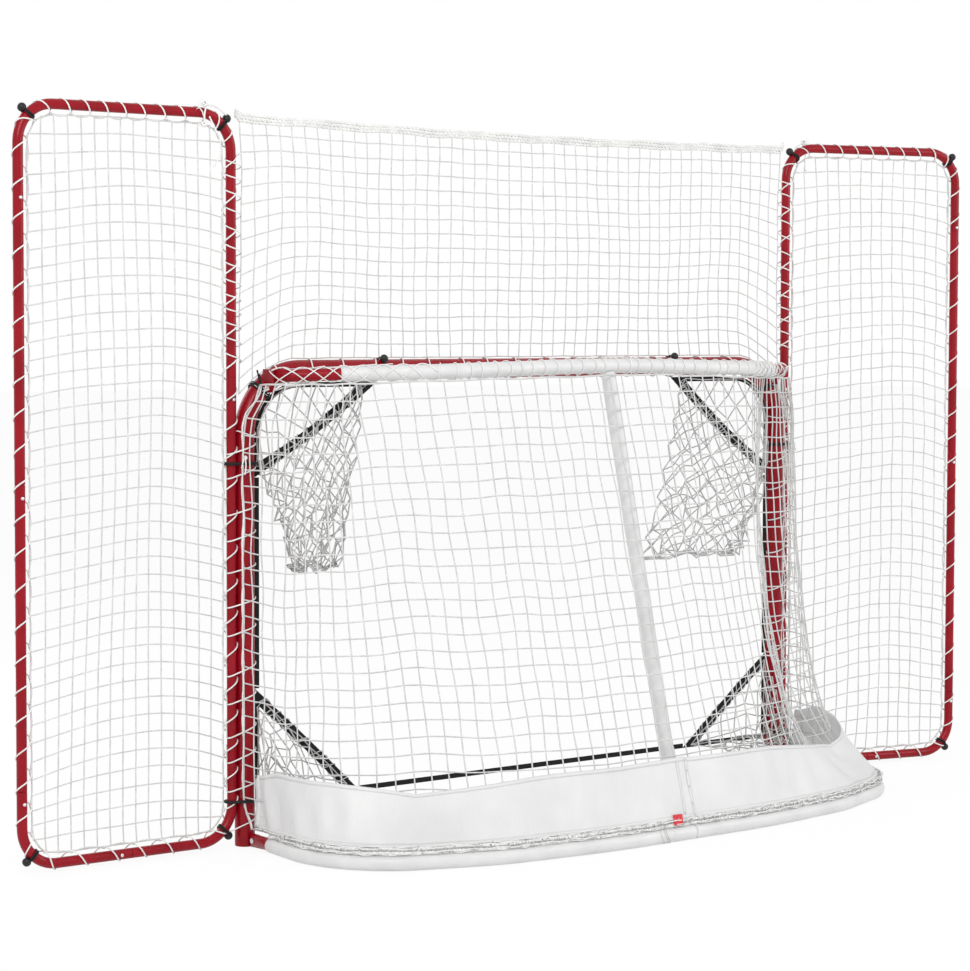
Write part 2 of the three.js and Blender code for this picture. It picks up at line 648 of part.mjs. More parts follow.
// A net of square twine over a surface at(u, v), u and v from 0 to 1: a block at each knot, and a
// bar of the same section between each two neighbours, as one closed body.
function net(columns, rows, at) {
  const half = TWINE / 2;
  const tiny = 1e-3;
  const slope = (u, v, du, dv) => {
    const a = at(Math.max(0, u - du), Math.max(0, v - dv));
    const b = at(Math.min(1, u + du), Math.min(1, v + dv));
    return b.sub(a).normalize();
  };
  const points = [];
  const corner = (i, j, su, sv, sn) => ((j * (columns + 1) + i) * 2 + su) * 4 + sv * 2 + sn;
  for (let j = 0; j <= rows; j++) {
    for (let i = 0; i <= columns; i++) {
      const u = i / columns;
      const v = j / rows;
      const along = slope(u, v, tiny, 0);
      const up = slope(u, v, 0, tiny);
      const out = along.clone().cross(up).normalize();
      for (const su of [-1, 1]) {
        for (const sv of [-1, 1]) {
          for (const sn of [-1, 1]) {
            const p = at(u, v).addScaledVector(along, su * half);
            points.push(p.addScaledVector(up, sv * half).addScaledVector(out, sn * half));
          }
        }
      }
    }
  }
  const faces = [];
  const quad = (a, b, c, d) => faces.push(a, b, c, a, c, d);
  // Each side of a block as four corners, counter-clockwise about the axis it faces along.
  const facing = {
    u: (i, j, side) => [[0, 0], [1, 0], [1, 1], [0, 1]].map(([sv, sn]) => corner(i, j, side, sv, sn)),
    v: (i, j, side) => [[0, 0], [1, 0], [1, 1], [0, 1]].map(([sn, su]) => corner(i, j, su, side, sn)),
    n: (i, j, side) => [[0, 0], [1, 0], [1, 1], [0, 1]].map(([su, sv]) => corner(i, j, su, sv, side)),
  };
  const cap = (ring, forward) => (forward ? quad(...ring) : quad(...ring.slice().reverse()));
  const bar = (a, b) => a.forEach((_, k) => quad(a[k], a[(k + 1) % 4], b[(k + 1) % 4], b[k]));
  for (let j = 0; j <= rows; j++) {
    for (let i = 0; i <= columns; i++) {
      cap(facing.n(i, j, 0), false);
      cap(facing.n(i, j, 1), true);
      if (i === 0) cap(facing.u(i, j, 0), false);
      if (j === 0) cap(facing.v(i, j, 0), false);
      if (i === columns) cap(facing.u(i, j, 1), true);
      else bar(facing.u(i, j, 1), facing.u(i + 1, j, 0));
      if (j === rows) cap(facing.v(i, j, 1), true);
      else bar(facing.v(i, j, 1), facing.v(i, j + 1, 0));
    }
  }
  return closedBody(points, faces);
}

// A surface between four edge lines that share their corners.
function patch(bottom, top, first, last) {
  return (u, v) => {
    const across = bottom(u).lerp(top(u), v);
    const upward = first(v).lerp(last(v), u);
    const corners = bottom(0).lerp(bottom(1), u).lerp(top(0).lerp(top(1), u), v);
    return across.add(upward).sub(corners);
  };
}

// A wing's net fills its loop; its corners are drawn in to clear the bends.
const EDGE = WING_R + NET_STANDOFF + TWINE / 2;
function wingNetAt(u, v) {
  const x = mix(EDGE, WING_WIDTH - EDGE, u);
  const z = mix(WING_FOOT_Z + EDGE, WING_TOP_Z - EDGE, v);
  const centreX = THREE.MathUtils.clamp(x, WING_BEND, WING_WIDTH - WING_BEND);
  const centreZ = THREE.MathUtils.clamp(z, WING_FOOT_Z + WING_BEND, WING_TOP_Z - WING_BEND);
  const spoke = vec(x - centreX, 0, z - centreZ);
  if (spoke.x !== 0 && spoke.z !== 0) spoke.clampLength(0, WING_BEND - netClear(WING_R) - TWINE);
  return vec(centreX, 0, centreZ).add(spoke);
}

const wingTie = ballTie(WING_R);
const wingTieCorners = ["foot_outer", "top_outer", "top_inner", "foot_inner"];

for (const { name, sign, sweep } of sides) {
  const wing = new THREE.Group();
  wing.position.set(sign * WING_X, 0, 0);
  const turn = THREE.MathUtils.degToRad(sweep);
  wing.rotation.z = sign > 0 ? turn : Math.PI - turn;
  goal.add(wing);
  for (const part of wingPieces) {
    const range = { from: part.from + SLIP, to: part.to, end: WING_SPIGOT };
    piece(`wing_${name}_${part.name}`, roundTube(wingPath, { ...wingTube, ...range }), RED, wing);
  }
  piece(`wing_${name}_net`, net(WING_NET_COLUMNS, WING_NET_ROWS, wingNetAt), WHITE_TWINE, wing);
  wingTieCorners.forEach((place, k) => {
    const bend = wingPath.bends[k];
    const station = wingPath.station((bend.enter + bend.leave) / 2);
    const outward = station.point.clone().sub(vec(WING_WIDTH / 2, 0, WING_FOOT_Z + WING_HEIGHT / 2));
    placeTie(piece(`ball_tie_${name}_${place}`, wingTie, BLACK_CORD, wing), station, outward);
  });
}

// The ties on the crossbar stand just inside the ends of the upper targets.
const frameTie = ballTie(POST_R);
const barTieX = MOUTH_WIDTH / 2 - UPPER_TARGET_REACH - CROSSBAR_TIE_GAP;
for (const { name, sign } of sides) {
  const station = framePath.station(FRAME_LENGTH / 2 - sign * barTieX);
  placeTie(piece(`ball_tie_crossbar_${name}`, frameTie, BLACK_CORD), station, vec(0, 0.6, 0.8));
}

// ---- Ties that hold each wing to its post ------------------------------------------------------

// A belt round two circles on the x axis, as an outline of points.
function beltOutline(a, b, extra) {
  const gap = Math.abs(b.x - a.x);
  const lean = Math.acos((a.r - b.r) / gap);
  const toward = Math.sign(b.x - a.x);
  const arc = (circle, from, to, steps) =>
    Array.from({ length: steps + 1 }, (_, k) => {
      const turn = mix(from, to, k / steps);
      const r = (circle.r + extra) / Math.cos((to - from) / steps / 2);
      return new THREE.Vector2(circle.x + toward * r * Math.cos(turn), r * Math.sin(turn));
    });
  return [...arc(a, lean, 2 * Math.PI - lean, 8), ...arc(b, -lean, lean, 5)];
}

function postTie(sign, z) {
  const post = { x: sign * POST_X, r: POST_R + TOUCH };
  const upright = { x: sign * WING_X, r: WING_R + TOUCH };
  const shape = outlineWithHole(beltOutline(post, upright, CORD_R), beltOutline(post, upright, 0));
  const belt = new THREE.ExtrudeGeometry(shape, { depth: CORD_DIAMETER, bevelEnabled: false });
  return belt.translate(0, 0, z - CORD_R);
}

for (const { name, sign } of sides) {
  piece(`post_tie_${name}_upper`, postTie(sign, UPPER_TIE_HEIGHT), BLACK_CORD);
  piece(`post_tie_${name}_lower`, postTie(sign, LOWER_TIE_HEIGHT), BLACK_CORD);
}

// ---- Backstop net and band ---------------------------------------------------------------------

// The net's foot lies along the top of the crossbar and then falls outside the corner bends.
const backstopX = WING_X - WING_R - NET_STANDOFF - TWINE / 2;
const backstopTop = WING_TOP_Z - BAND_HEIGHT / 2 - TOUCH - TWINE / 2;
function backstopFoot(x) {
  const pastBend = Math.max(0, Math.abs(x) - (POST_X - POST_BEND));
  return BAR_Z + netClear(POST_R) - pastBend ** 2 / (4 * POST_BEND);
}
const backstopAt = (u, v) => {
  const x = mix(-backstopX, backstopX, u);
  return vec(x, 0, mix(backstopFoot(x), backstopTop, v));
};
piece("backstop_net", net(BACKSTOP_NET_COLUMNS, BACKSTOP_NET_ROWS, backstopAt), WHITE_TWINE);
const bandLow = vec(-backstopX, -BAND_THICKNESS / 2, WING_TOP_Z - BAND_HEIGHT / 2);
const bandHigh = vec(backstopX, BAND_THICKNESS / 2, WING_TOP_Z + BAND_HEIGHT / 2);
piece("backstop_band", box(bandLow, bandHigh), WHITE_TWINE);

// ---- Goal net ----------------------------------------------------------------------------------

// Outward of the shelf rail, level with it, and above the base rail, on its middle line.
const shelfOff = SLEEVE_R + NET_STANDOFF + TWINE;
const shelfEdge = (s) => {
  const { point, tangent } = shelfPath.station(s);
  const outward = UP.clone().cross(tangent).normalize().negate();
  return point.addScaledVector(outward, shelfOff).add(vec(0, 0, -SLEEVE_R - TWINE));
};
const baseEdge = (s) => basePath.station(s).point.add(vec(0, 0, SLEEVE_R + NET_STANDOFF));
const shelfTurn = SHELF_CREASE_LENGTH;
const baseTurn = basePath.bends[1].leave - BASE_CREASE_SHORT;
const CREASE_GAP = TWINE * 1.5;
const baseFront = TAB_CLEARANCE + TWINE;
const shelfFront = TAB_CLEARANCE + TWINE;
const smooth = THREE.MathUtils.smoothstep;

// The line up the post's rear side, turning in with the corner bend to the shelf rail's end.
function frontEdge(v) {
  const low = baseEdge(baseFront);
  const high = shelfEdge(shelfFront);
  const line = low.clone().lerp(high, v);
  const turned = smooth(line.z, BAR_Z - POST_BEND - POST_R, high.z);
  line.x = mix(POST_X, high.x, turned);
  line.x = mix(low.x, line.x, smooth(v, 0, 0.1));
  line.y = mix(low.y, high.y, v);
  return line;
}
const shelfCrease = shelfEdge(shelfTurn);
const baseCrease = baseEdge(baseTurn);

// The net hangs in from a straight crease, most of all a third of the way up.
const creaseSag = (v) => {
  const depth = CREASE_SAG * Math.sin(Math.PI * v ** CREASE_SAG_SKEW);
  return vec(-Math.SQRT1_2, -Math.SQRT1_2, 0).multiplyScalar(depth);
};
const straightSideAt = patch(
  (u) => baseEdge(mix(baseFront, baseTurn, u)),
  (u) => shelfEdge(mix(shelfFront, shelfTurn, u)),
  frontEdge,
  (v) => baseCrease.clone().lerp(shelfCrease, v),
);
const sideNetAt = (u, v) => straightSideAt(u, v).addScaledVector(creaseSag(v), u ** 1.5);
const sideNet = net(SIDE_NET_COLUMNS, SIDE_NET_ROWS, sideNetAt);
piece("side_net_left", sideNet, WHITE_TWINE);
piece("side_net_right", mirrored(sideNet), WHITE_TWINE);

// The back net runs from crease to crease, outside the centre bar.
const baseFar = basePath.length - baseTurn - CREASE_GAP;
const shelfFar = shelfPath.length - shelfTurn - CREASE_GAP;
const straightBackAt = patch(
  (u) => baseEdge(mix(baseFar, baseTurn + CREASE_GAP, u)),
  (u) => shelfEdge(mix(shelfFar, shelfTurn + CREASE_GAP, u)),
  (v) => baseEdge(baseFar).lerp(shelfEdge(shelfFar), v),
  (v) => baseEdge(baseTurn + CREASE_GAP).lerp(shelfEdge(shelfTurn + CREASE_GAP), v),
);
const backNetAt = (u, v) => {
  const sag = creaseSag(v).multiplyScalar((2 * u - 1) ** 2);
  return straightBackAt(u, v).add(vec(Math.sign(2 * u - 1) * sag.x, sag.y, 0));
};
piece("back_net", net(BACK_NET_COLUMNS, BACK_NET_ROWS, backNetAt), WHITE_TWINE);

// The top net lies between the crossbar and the shelf rail.
const topFrontY = netClear(POST_R);
const topRearY = SHELF_DEPTH - SLEEVE_R - NET_STANDOFF;
const armLean = (SHELF_TAB_X - SHELF_HALF_WIDTH) / (SHELF_DEPTH - SHELF_TURN_Y);
const topNetAt = (u, v) => {
  const y = mix(topFrontY, topRearY, v);
  const arm = SHELF_HALF_WIDTH + armLean * (SHELF_DEPTH - y);
  const clear = (SLEEVE_R + NET_STANDOFF) * Math.hypot(1, armLean);
  const halfWidth = Math.min(arm, SHELF_TAB_X) - clear;
  const z = mix(BAR_Z, SHELF_REAR_HEIGHT, v) + SHELF_CROWN * v * (1 - Math.abs(2 * u - 1));
  return vec(mix(-halfWidth, halfWidth, u), y, z);
};
piece("top_net", net(TOP_NET_COLUMNS, TOP_NET_ROWS, topNetAt), WHITE_TWINE);

// ---- Skirt -------------------------------------------------------------------------------------

// Each half runs from a post round the corner to the seam at the middle, outside the net.
function skirtHalf() {
  const from = SKIRT_START;
  const to = BASE_MIDDLE - SKIRT_SEAM_GAP / 2;
  const rings = (offset) =>
    Array.from({ length: SKIRT_STEPS + 1 }, (_, i) => {
      const s = mix(from, to, i / SKIRT_STEPS);
      const { tangent } = basePath.station(s);
      const outward = UP.clone().cross(tangent).normalize().negate();
      const foot = baseEdge(s);
      const u = Math.min(1, (s - baseFront) / (baseTurn - baseFront));
      const backU = (s - baseTurn - CREASE_GAP) / (basePath.length - 2 * (baseTurn + CREASE_GAP));
      const netPoint = (v) => (s < baseTurn ? sideNetAt(u, v) : backNetAt(1 - backU, v));
      const lean = netPoint(SKIRT_HEIGHT / (SHELF_REAR_HEIGHT - BASE_Z)).sub(foot);
      lean.multiplyScalar(SKIRT_HEIGHT / lean.z);
      return Array.from({ length: SKIRT_ROWS + 1 }, (_, j) => {
        const t = j / SKIRT_ROWS;
        const wave = SKIRT_FOLD * t * Math.sin((2 * Math.PI * s) / SKIRT_FOLD_LENGTH + 1.7 * t);
        const stand = SKIRT_STANDOFF + wave * 0.5 + SKIRT_FOLD * 0.5 * t + offset;
        return foot.clone().addScaledVector(lean, t).addScaledVector(outward, stand);
      });
    });
  const outer = rings(SKIRT_THICKNESS);
  const inner = rings(0);
  const rounds = outer.map((ring, i) => [...ring, ...inner[i].slice().reverse()]);
  return loft(rounds, null, { sheet: true });
}
const skirt = skirtHalf();
piece("skirt_left", skirt, WHITE_VINYL);
piece("skirt_right", mirrored(skirt), WHITE_VINYL);

// ---- Corner targets ----------------------------------------------------------------------------

// The webbing lies in the mouth's plane. A target is drawn with a inward from the post's inner side
// and b away from the crossbar, or up from the lower edge of the bottom strap.
const STRAP_GAP = CORD_R + 4 * TOUCH;
const STRAP_X = MOUTH_WIDTH / 2 - STRAP_GAP;
const STRAP_TOP = MOUTH_HEIGHT - STRAP_GAP;
const STRAP_LOW = BOTTOM_STRAP_HEIGHT - WEBBING_EDGE / 2;
const UPPER_BEND = POST_BEND - POST_R - STRAP_GAP;
const upper = { upper: true, reach: UPPER_TARGET_REACH };
const lower = { upper: false, reach: LOWER_TARGET_REACH, foot: LOWER_POCKET };
const targets = [
  { ...upper, name: "upper_left", sign: 1, rise: UPPER_LEFT_TARGET_DROP, foot: UPPER_LEFT_POCKET },
  { ...upper, name: "upper_right", sign: -1, rise: UPPER_RIGHT_TARGET_DROP, foot: UPPER_RIGHT_POCKET },
  { ...lower, name: "lower_left", sign: 1, rise: LOWER_LEFT_TARGET_RISE },
  { ...lower, name: "lower_right", sign: -1, rise: LOWER_RIGHT_TARGET_RISE },
];

// From a target's a and b to the goal's x and z.
const toGoal = (target, a, b) => {
  const z = target.upper ? STRAP_TOP - b : STRAP_LOW + b;
  return new THREE.Vector2(target.sign * (STRAP_X - a), z);
};

// The three corners of a target's outline drawn in by edge from its legs and by width from its slope.
function drawnIn({ reach, rise }, edge, width) {
  const left = 1 - (width * Math.hypot(reach, rise)) / (reach * rise);
  return { edge, a: reach * (left - edge / rise), b: rise * (left - edge / reach) };
}

// That outline, with its square corner rounded to lie inside the bend of the frame.
function targetOutline(target, edge, width, steps) {
  const { a, b } = drawnIn(target, edge, width);
  const bend = target.upper ? UPPER_BEND - edge : 0;
  const centre = edge + bend;
  const round = Array.from({ length: steps + 1 }, (_, k) => {
    const turn = (Math.PI / 2) * (k / steps);
    return [centre - bend * Math.sin(turn), centre - bend * Math.cos(turn)];
  });
  const corner = bend > 0 ? round : [[edge, edge]];
  return [...corner, [edge, b], [a, edge]];
}

// A flat strip of webbing from an outline in the mouth's plane.
function flatWebbing(shape) {
  const strip = new THREE.ExtrudeGeometry(shape, { depth: WEBBING_THICKNESS, bevelEnabled: false });
  return strip.rotateX(Math.PI / 2).translate(0, WEBBING_THICKNESS / 2, 0);
}

function targetWebbing(target) {
  const line = (edge, width) => {
    return targetOutline(target, edge, width, 5).map(([a, b]) => toGoal(target, a, b));
  };
  return flatWebbing(outlineWithHole(line(0, 0), line(WEBBING_EDGE, WEBBING_WIDTH)));
}

// A net pocket is a bag with an open mouth, behind its target, and a closed foot. An upper pocket
// hangs: its front falls from the target's slope, its back from the two legs bulges to the rear, and
// its foot is level. A lower one runs straight to the rear, narrowing into the corner.
function pocket(target) {
  const mouth = targetOutline(target, WEBBING_EDGE / 2, WEBBING_WIDTH / 2, 3);
  const along = mouth.map(([a]) => a);
  const [near, far] = [Math.min(...along), Math.max(...along)];
  const { foot } = target;
  const ring = (t, share) => {
    const points = mouth.map(([a, b]) => {
      const behind = 1 - a / target.reach - b / target.rise;
      const footX = foot.x - foot.half * ((2 * (a - near)) / (far - near) - 1);
      const bulge = foot.bulge * behind * Math.sin(Math.PI * t);
      const back = (foot.depth + foot.thickness * behind) * t;
      const end = new THREE.Vector2(target.sign * footX, foot.z + foot.lift * b);
      const at = toGoal(target, a, b).lerp(end, t);
      return vec(at.x, WEBBING_THICKNESS / 2 + TOUCH + bulge + back, at.y);
    });
    const middle = points.reduce((sum, p) => sum.add(p), vec(0, 0, 0)).divideScalar(points.length);
    return points.map((p) => middle.clone().lerp(p, share));
  };
  const outer = POCKET_RINGS.map((t) => ring(t, 1));
  const inner = POCKET_RINGS.map((t) => ring(t * POCKET_FLOOR, POCKET_HOLLOW)).reverse();
  return loft([...inner, ...outer]);
}

for (const target of targets) {
  piece(`target_${target.name}`, targetWebbing(target), BLACK_WEBBING);
  piece(`pocket_${target.name}`, pocket(target), GREY_TWINE);
}

// Straps between the targets: up the inside of each post, and across the mouth near the floor.
const halfStrap = WEBBING_THICKNESS / 2;
for (const { name, sign } of sides) {
  const [top, foot] = targets.filter((target) => target.sign === sign);
  const xs = [sign * STRAP_X, sign * (STRAP_X - WEBBING_EDGE)].sort((a, b) => a - b);
  const low = vec(xs[0], -halfStrap, STRAP_LOW + foot.rise + TOUCH);
  const high = vec(xs[1], halfStrap, STRAP_TOP - top.rise - TOUCH);
  piece(`side_strap_${name}`, box(low, high), BLACK_WEBBING);
}
const bottomReach = STRAP_X - LOWER_TARGET_REACH - TOUCH;
const bottomLow = vec(-bottomReach, -halfStrap, STRAP_LOW);
const bottomHigh = vec(bottomReach, halfStrap, STRAP_LOW + WEBBING_EDGE);
piece("bottom_strap", box(bottomLow, bottomHigh), BLACK_WEBBING);

// ---- Origin ------------------------------------------------------------------------------------

goal.updateMatrixWorld(true);
const bounds = new THREE.Box3().setFromObject(goal, true);
const middle = bounds.getCenter(new THREE.Vector3());
goal.position.set(-middle.x, -middle.y, -bounds.min.z);

export default goal;
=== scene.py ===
"""An ice hockey goal with a backstop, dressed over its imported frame.

Shapes are worked out in millimetres in the goal's own frame: x = 0 at the middle of the goal, y = 0 in
the plane of the mouth with +y to the rear, z = 0 on the floor. part() turns them into the part's frame.
"""

import math
from itertools import product

import bmesh
import bpy
import numpy as np
from mathutils import Matrix, Vector


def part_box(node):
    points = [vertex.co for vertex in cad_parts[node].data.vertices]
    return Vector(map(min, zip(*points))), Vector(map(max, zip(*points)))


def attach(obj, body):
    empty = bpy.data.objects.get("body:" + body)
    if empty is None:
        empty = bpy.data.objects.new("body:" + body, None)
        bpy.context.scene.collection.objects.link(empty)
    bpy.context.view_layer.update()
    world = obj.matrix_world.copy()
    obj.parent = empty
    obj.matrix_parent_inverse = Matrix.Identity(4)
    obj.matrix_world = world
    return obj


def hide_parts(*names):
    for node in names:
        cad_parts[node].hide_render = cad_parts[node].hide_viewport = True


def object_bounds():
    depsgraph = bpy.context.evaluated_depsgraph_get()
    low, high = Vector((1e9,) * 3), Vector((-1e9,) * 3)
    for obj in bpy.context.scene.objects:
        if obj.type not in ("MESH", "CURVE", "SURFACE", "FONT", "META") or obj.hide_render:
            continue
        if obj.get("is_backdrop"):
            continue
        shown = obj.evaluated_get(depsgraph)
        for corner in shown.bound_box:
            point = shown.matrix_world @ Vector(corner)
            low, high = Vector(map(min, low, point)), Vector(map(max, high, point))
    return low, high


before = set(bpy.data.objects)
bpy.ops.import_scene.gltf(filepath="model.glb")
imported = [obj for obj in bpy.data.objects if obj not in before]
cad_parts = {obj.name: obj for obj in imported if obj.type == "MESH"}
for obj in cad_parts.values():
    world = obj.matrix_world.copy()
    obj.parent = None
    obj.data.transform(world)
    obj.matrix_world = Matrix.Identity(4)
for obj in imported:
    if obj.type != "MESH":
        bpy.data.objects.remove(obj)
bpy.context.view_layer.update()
RNG = np.random.default_rng(7)

# ---- Sizes shared with the CAD, in millimetres --------------------------------------------------

MOUTH_WIDTH, MOUTH_HEIGHT = 1828.8, 1165.0
POST_R, POST_BEND, POST_SEAM, BAR_LENGTH = 25.4, 165.0, 838.0, 640.0
RAIL_R, SLEEVE_R, CENTRE_R = 15.875, 19.4, 14.3
WING_R, WING_WIDTH, WING_HEIGHT, WING_BEND = 12.7, 592.0, 1803.4, 92.0
FRAME_WALL, RAIL_WALL, WING_WALL = 1.6, 1.5, 1.4
FRAME_SPIGOT, RAIL_SPIGOT, WING_SPIGOT = 70, 60, 50
POST_X = MOUTH_WIDTH / 2 + POST_R
BAR_Z = MOUTH_HEIGHT + POST_R
WING_X = POST_X + POST_R + 0.6 + WING_R
WING_FOOT = 6.0 + WING_R
WING_TOP = WING_FOOT + WING_HEIGHT
BASE_Z = 18.45
RAIL_FRONT = POST_R + 4
SHELF_Z, SHELF_REAR, SHELF_CORNER_X, SHELF_CORNER_Z = 1178, 306, 510, 1190
FLAT_HALF, FLAT_THICK, FLAT_RUN, FLAT_END = 17.5, 3.2, 34, 76
POST_TIES = (("upper", 960.0), ("lower", 115.0))
SWEEP = {"left": -1.4, "right": 14.4}
SIDES = (("left", 1), ("right", -1))
TWINE, KNOT_R = 1.75, 2.6

bar_low, bar_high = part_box("crossbar")
ORIGIN = np.array([(bar_low[0] + bar_high[0]) / 2, (bar_low[1] + bar_high[1]) / 2, 0.0])


def part(points):
    """Goal millimetres to the part's metres."""
    return np.asarray(points, float) / 1000 + ORIGIN


def v(*xyz):
    return np.array(xyz, float)


def unit(a):
    """A vector, or each vector of an array, at length 1."""
    return a / np.linalg.norm(a, axis=-1, keepdims=True)


def mixed(a, b, t):
    return a + (b - a) * t


def smooth(x, a, b):
    """A smooth step from 0 at a to 1 at b."""
    x = min(max((x - a) / (b - a), 0), 1)
    return x * x * (3 - 2 * x)


# ---- Camera, floor and light --------------------------------------------------------------------

YAW, PITCH, ROLL, FOCAL_PX = 0.6947, -0.0581, -0.003, 2799.3
CAMERA_PLACE = (4936, 5733, 1311)
SENSOR, PHOTO_WIDTH = 36, 970
FLOOR_REACH, FLOOR_Z, FLOOR_GLOW, WORLD_LEVEL = 40, -0.001, 0.9, 0.72
LAMPS = (
    ("key", (4200, 3800, 4200), 2.4, 150),
    ("fill", (-3800, 4200, 2600), 3.0, 70),
    ("rim", (1500, -4200, 3200), 2.5, 45),
)
LAMP_AIM = (0, 0, 900)


def linked(name, data):
    made = bpy.data.objects.new(name, data)
    bpy.context.collection.objects.link(made)
    return made


def make_camera():
    camera = bpy.data.cameras.new("photo_camera")
    camera.sensor_fit = "HORIZONTAL"
    camera.sensor_width = SENSOR
    camera.lens = FOCAL_PX * SENSOR / PHOTO_WIDTH
    camera.clip_end = 200
    view = linked("photo_camera", camera)
    level = math.cos(PITCH)
    look = Vector((-math.sin(YAW) * level, -math.cos(YAW) * level, math.sin(PITCH)))
    right = look.cross(Vector((0, 0, 1))).normalized()
    axes = Matrix((right, right.cross(look), -look)).transposed()
    turned = axes @ Matrix.Rotation(-ROLL, 3, "Z")
    view.matrix_world = Matrix.Translation(part(CAMERA_PLACE)) @ turned.to_4x4()
    bpy.context.scene.camera = view


def node(tree, kind, *first, **named):
    """A new shader node. Its inputs get values or links, the first ones in order and others by name."""
    made = tree.nodes.new("ShaderNode" + kind)
    given = list(zip(made.inputs, first))
    for name, value in named.items():
        socket = made.inputs.get(name.replace("_", " "))
        if socket is None:
            setattr(made, name, value)
        else:
            given.append((socket, value))
    for socket, value in given:
        if isinstance(value, bpy.types.NodeSocket):
            tree.links.new(value, socket)
        else:
            socket.default_value = value
    return made


def seen_rays(tree):
    """1 for the rays of the camera and of glossy surfaces, and 0 for the rest."""
    rays = node(tree, "LightPath").outputs
    return node(tree, "Math", rays["Is Camera Ray"], rays["Is Glossy Ray"], operation="MAXIMUM").outputs[0]


def make_stage():
    """A pale floor that takes the goal's shadow and meets a white surround without a line."""
    floor = bpy.data.meshes.new("floor")
    corners = [(x * FLOOR_REACH, y * FLOOR_REACH, FLOOR_Z) for x, y in ((-1, -1), (1, -1), (1, 1), (-1, 1))]
    floor.from_pydata(corners, [], [(0, 1, 2, 3)])
    linked("floor", floor)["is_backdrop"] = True
    finish = bpy.data.materials.new("floor")
    finish.use_nodes = True
    tree = finish.node_tree
    shader = tree.nodes["Principled BSDF"]
    shader.inputs["Base Color"].default_value = (0.95, 0.95, 0.95, 1)
    shader.inputs["Roughness"].default_value = 0.9
    glow = node(tree, "Emission", (1, 1, 1, 1))
    share = node(tree, "Math", seen_rays(tree), FLOOR_GLOW, operation="MULTIPLY")
    mix = node(tree, "MixShader", share.outputs[0], shader.outputs[0], glow.outputs[0])
    tree.links.new(mix.outputs[0], tree.nodes["Material Output"].inputs["Surface"])
    floor.materials.append(finish)

    world = bpy.data.worlds.new("studio")
    bpy.context.scene.world = world
    world.use_nodes = True
    tree = world.node_tree
    back = tree.nodes["Background"]
    back.inputs["Color"].default_value = (1, 1, 1, 1)
    level = node(tree, "MapRange", seen_rays(tree), To_Min=WORLD_LEVEL, To_Max=1.0)
    tree.links.new(level.outputs["Result"], back.inputs["Strength"])


def make_lamp(name, place, size, watts):
    lamp = bpy.data.lights.new(name, "AREA")
    lamp.shape = "RECTANGLE"
    lamp.size = lamp.size_y = size
    lamp.energy = watts
    light = linked(name, lamp)
    light.location = part(place)
    light.rotation_mode = "QUATERNION"
    light.rotation_quaternion = (Vector(part(LAMP_AIM)) - light.location).to_track_quat("-Z", "Y")


make_camera()
make_stage()
for lamp in LAMPS:
    make_lamp(*lamp)
bpy.context.scene.view_settings.view_transform = "Standard"

# ---- Materials ----------------------------------------------------------------------------------


class Finish:
    """A Principled material with its colour and bump worked out from the object's own coordinates."""

    def __init__(self, name, roughness, metallic=0.0, **sockets):
        self.material = bpy.data.materials.new(name)
        self.material.use_nodes = True
        self.tree = self.material.node_tree
        self.inputs = self.tree.nodes["Principled BSDF"].inputs
        for socket, value in dict(Roughness=roughness, Metallic=metallic, **sockets).items():
            self.inputs[socket.replace("_", " ")].default_value = value
        self.where = node(self.tree, "TexCoord").outputs["Object"]
        self.height = None

    def texture(self, kind, scale, output="Fac", stretch=(1, 1, 1), **settings):
        place = node(self.tree, "Mapping", self.where, Scale=stretch)
        return node(self.tree, "Tex" + kind, place.outputs[0], Scale=scale, **settings).outputs[output]

    def colour(self, source, dark, light, edge=0.3):
        """Dark below the edge of the texture's range and light above it at the other end."""
        ramp = node(self.tree, "ValToRGB", source)
        for element, place, rgb in zip(ramp.color_ramp.elements, (edge, 1 - edge), (dark, light)):
            element.position = place
            element.color = (*rgb, 1)
        self.tree.links.new(ramp.outputs["Color"], self.inputs["Base Color"])

    def gloss(self, source, low, high):
        level = node(self.tree, "MapRange", source, To_Min=low, To_Max=high)
        self.tree.links.new(level.outputs["Result"], self.inputs["Roughness"])

    def bump(self, source, distance, strength):
        made = node(self.tree, "Bump", Distance=distance, Strength=strength, Height=source)
        if self.height is not None:
            self.tree.links.new(self.height, made.inputs["Normal"])
        self.height = made.outputs["Normal"]
        self.tree.links.new(self.height, self.inputs["Normal"])


def twine(name, dark, light):
    cord = Finish(name, 0.8, Specular_IOR_Level=0.25)
    cord.colour(cord.texture("Noise", 30.0, Detail=3.0), dark, light)
    cord.bump(cord.texture("Wave", 260.0, bands_direction="DIAGONAL", Distortion=3.0), 0.0005, 0.7)
    return cord.material


paint = Finish("red_powder_coat", 0.26, Coat_Weight=0.06, Coat_Roughness=0.1, Specular_IOR_Level=0.18)
paint.colour(paint.texture("Noise", 9.0, Detail=4.0), (0.235, 0.002, 0.008), (0.31, 0.004, 0.013))
paint.bump(paint.texture("Noise", 700.0, Detail=2.0), 0.00012, 0.5)
paint.gloss(paint.texture("Noise", 55.0, stretch=(1, 1, 0.25), Detail=6.0), 0.18, 0.34)

vinyl = Finish("white_sleeve_vinyl", 0.4)
vinyl.colour(vinyl.texture("Noise", 14.0, Detail=5.0), (0.64, 0.64, 0.64), (0.74, 0.74, 0.738), 0.25)
vinyl.bump(vinyl.texture("Noise", 60.0, stretch=(0.35, 0.35, 1), Detail=4.0), 0.0012, 0.5)
vinyl.bump(vinyl.texture("Voronoi", 900.0, "Distance"), 0.0001, 0.5)

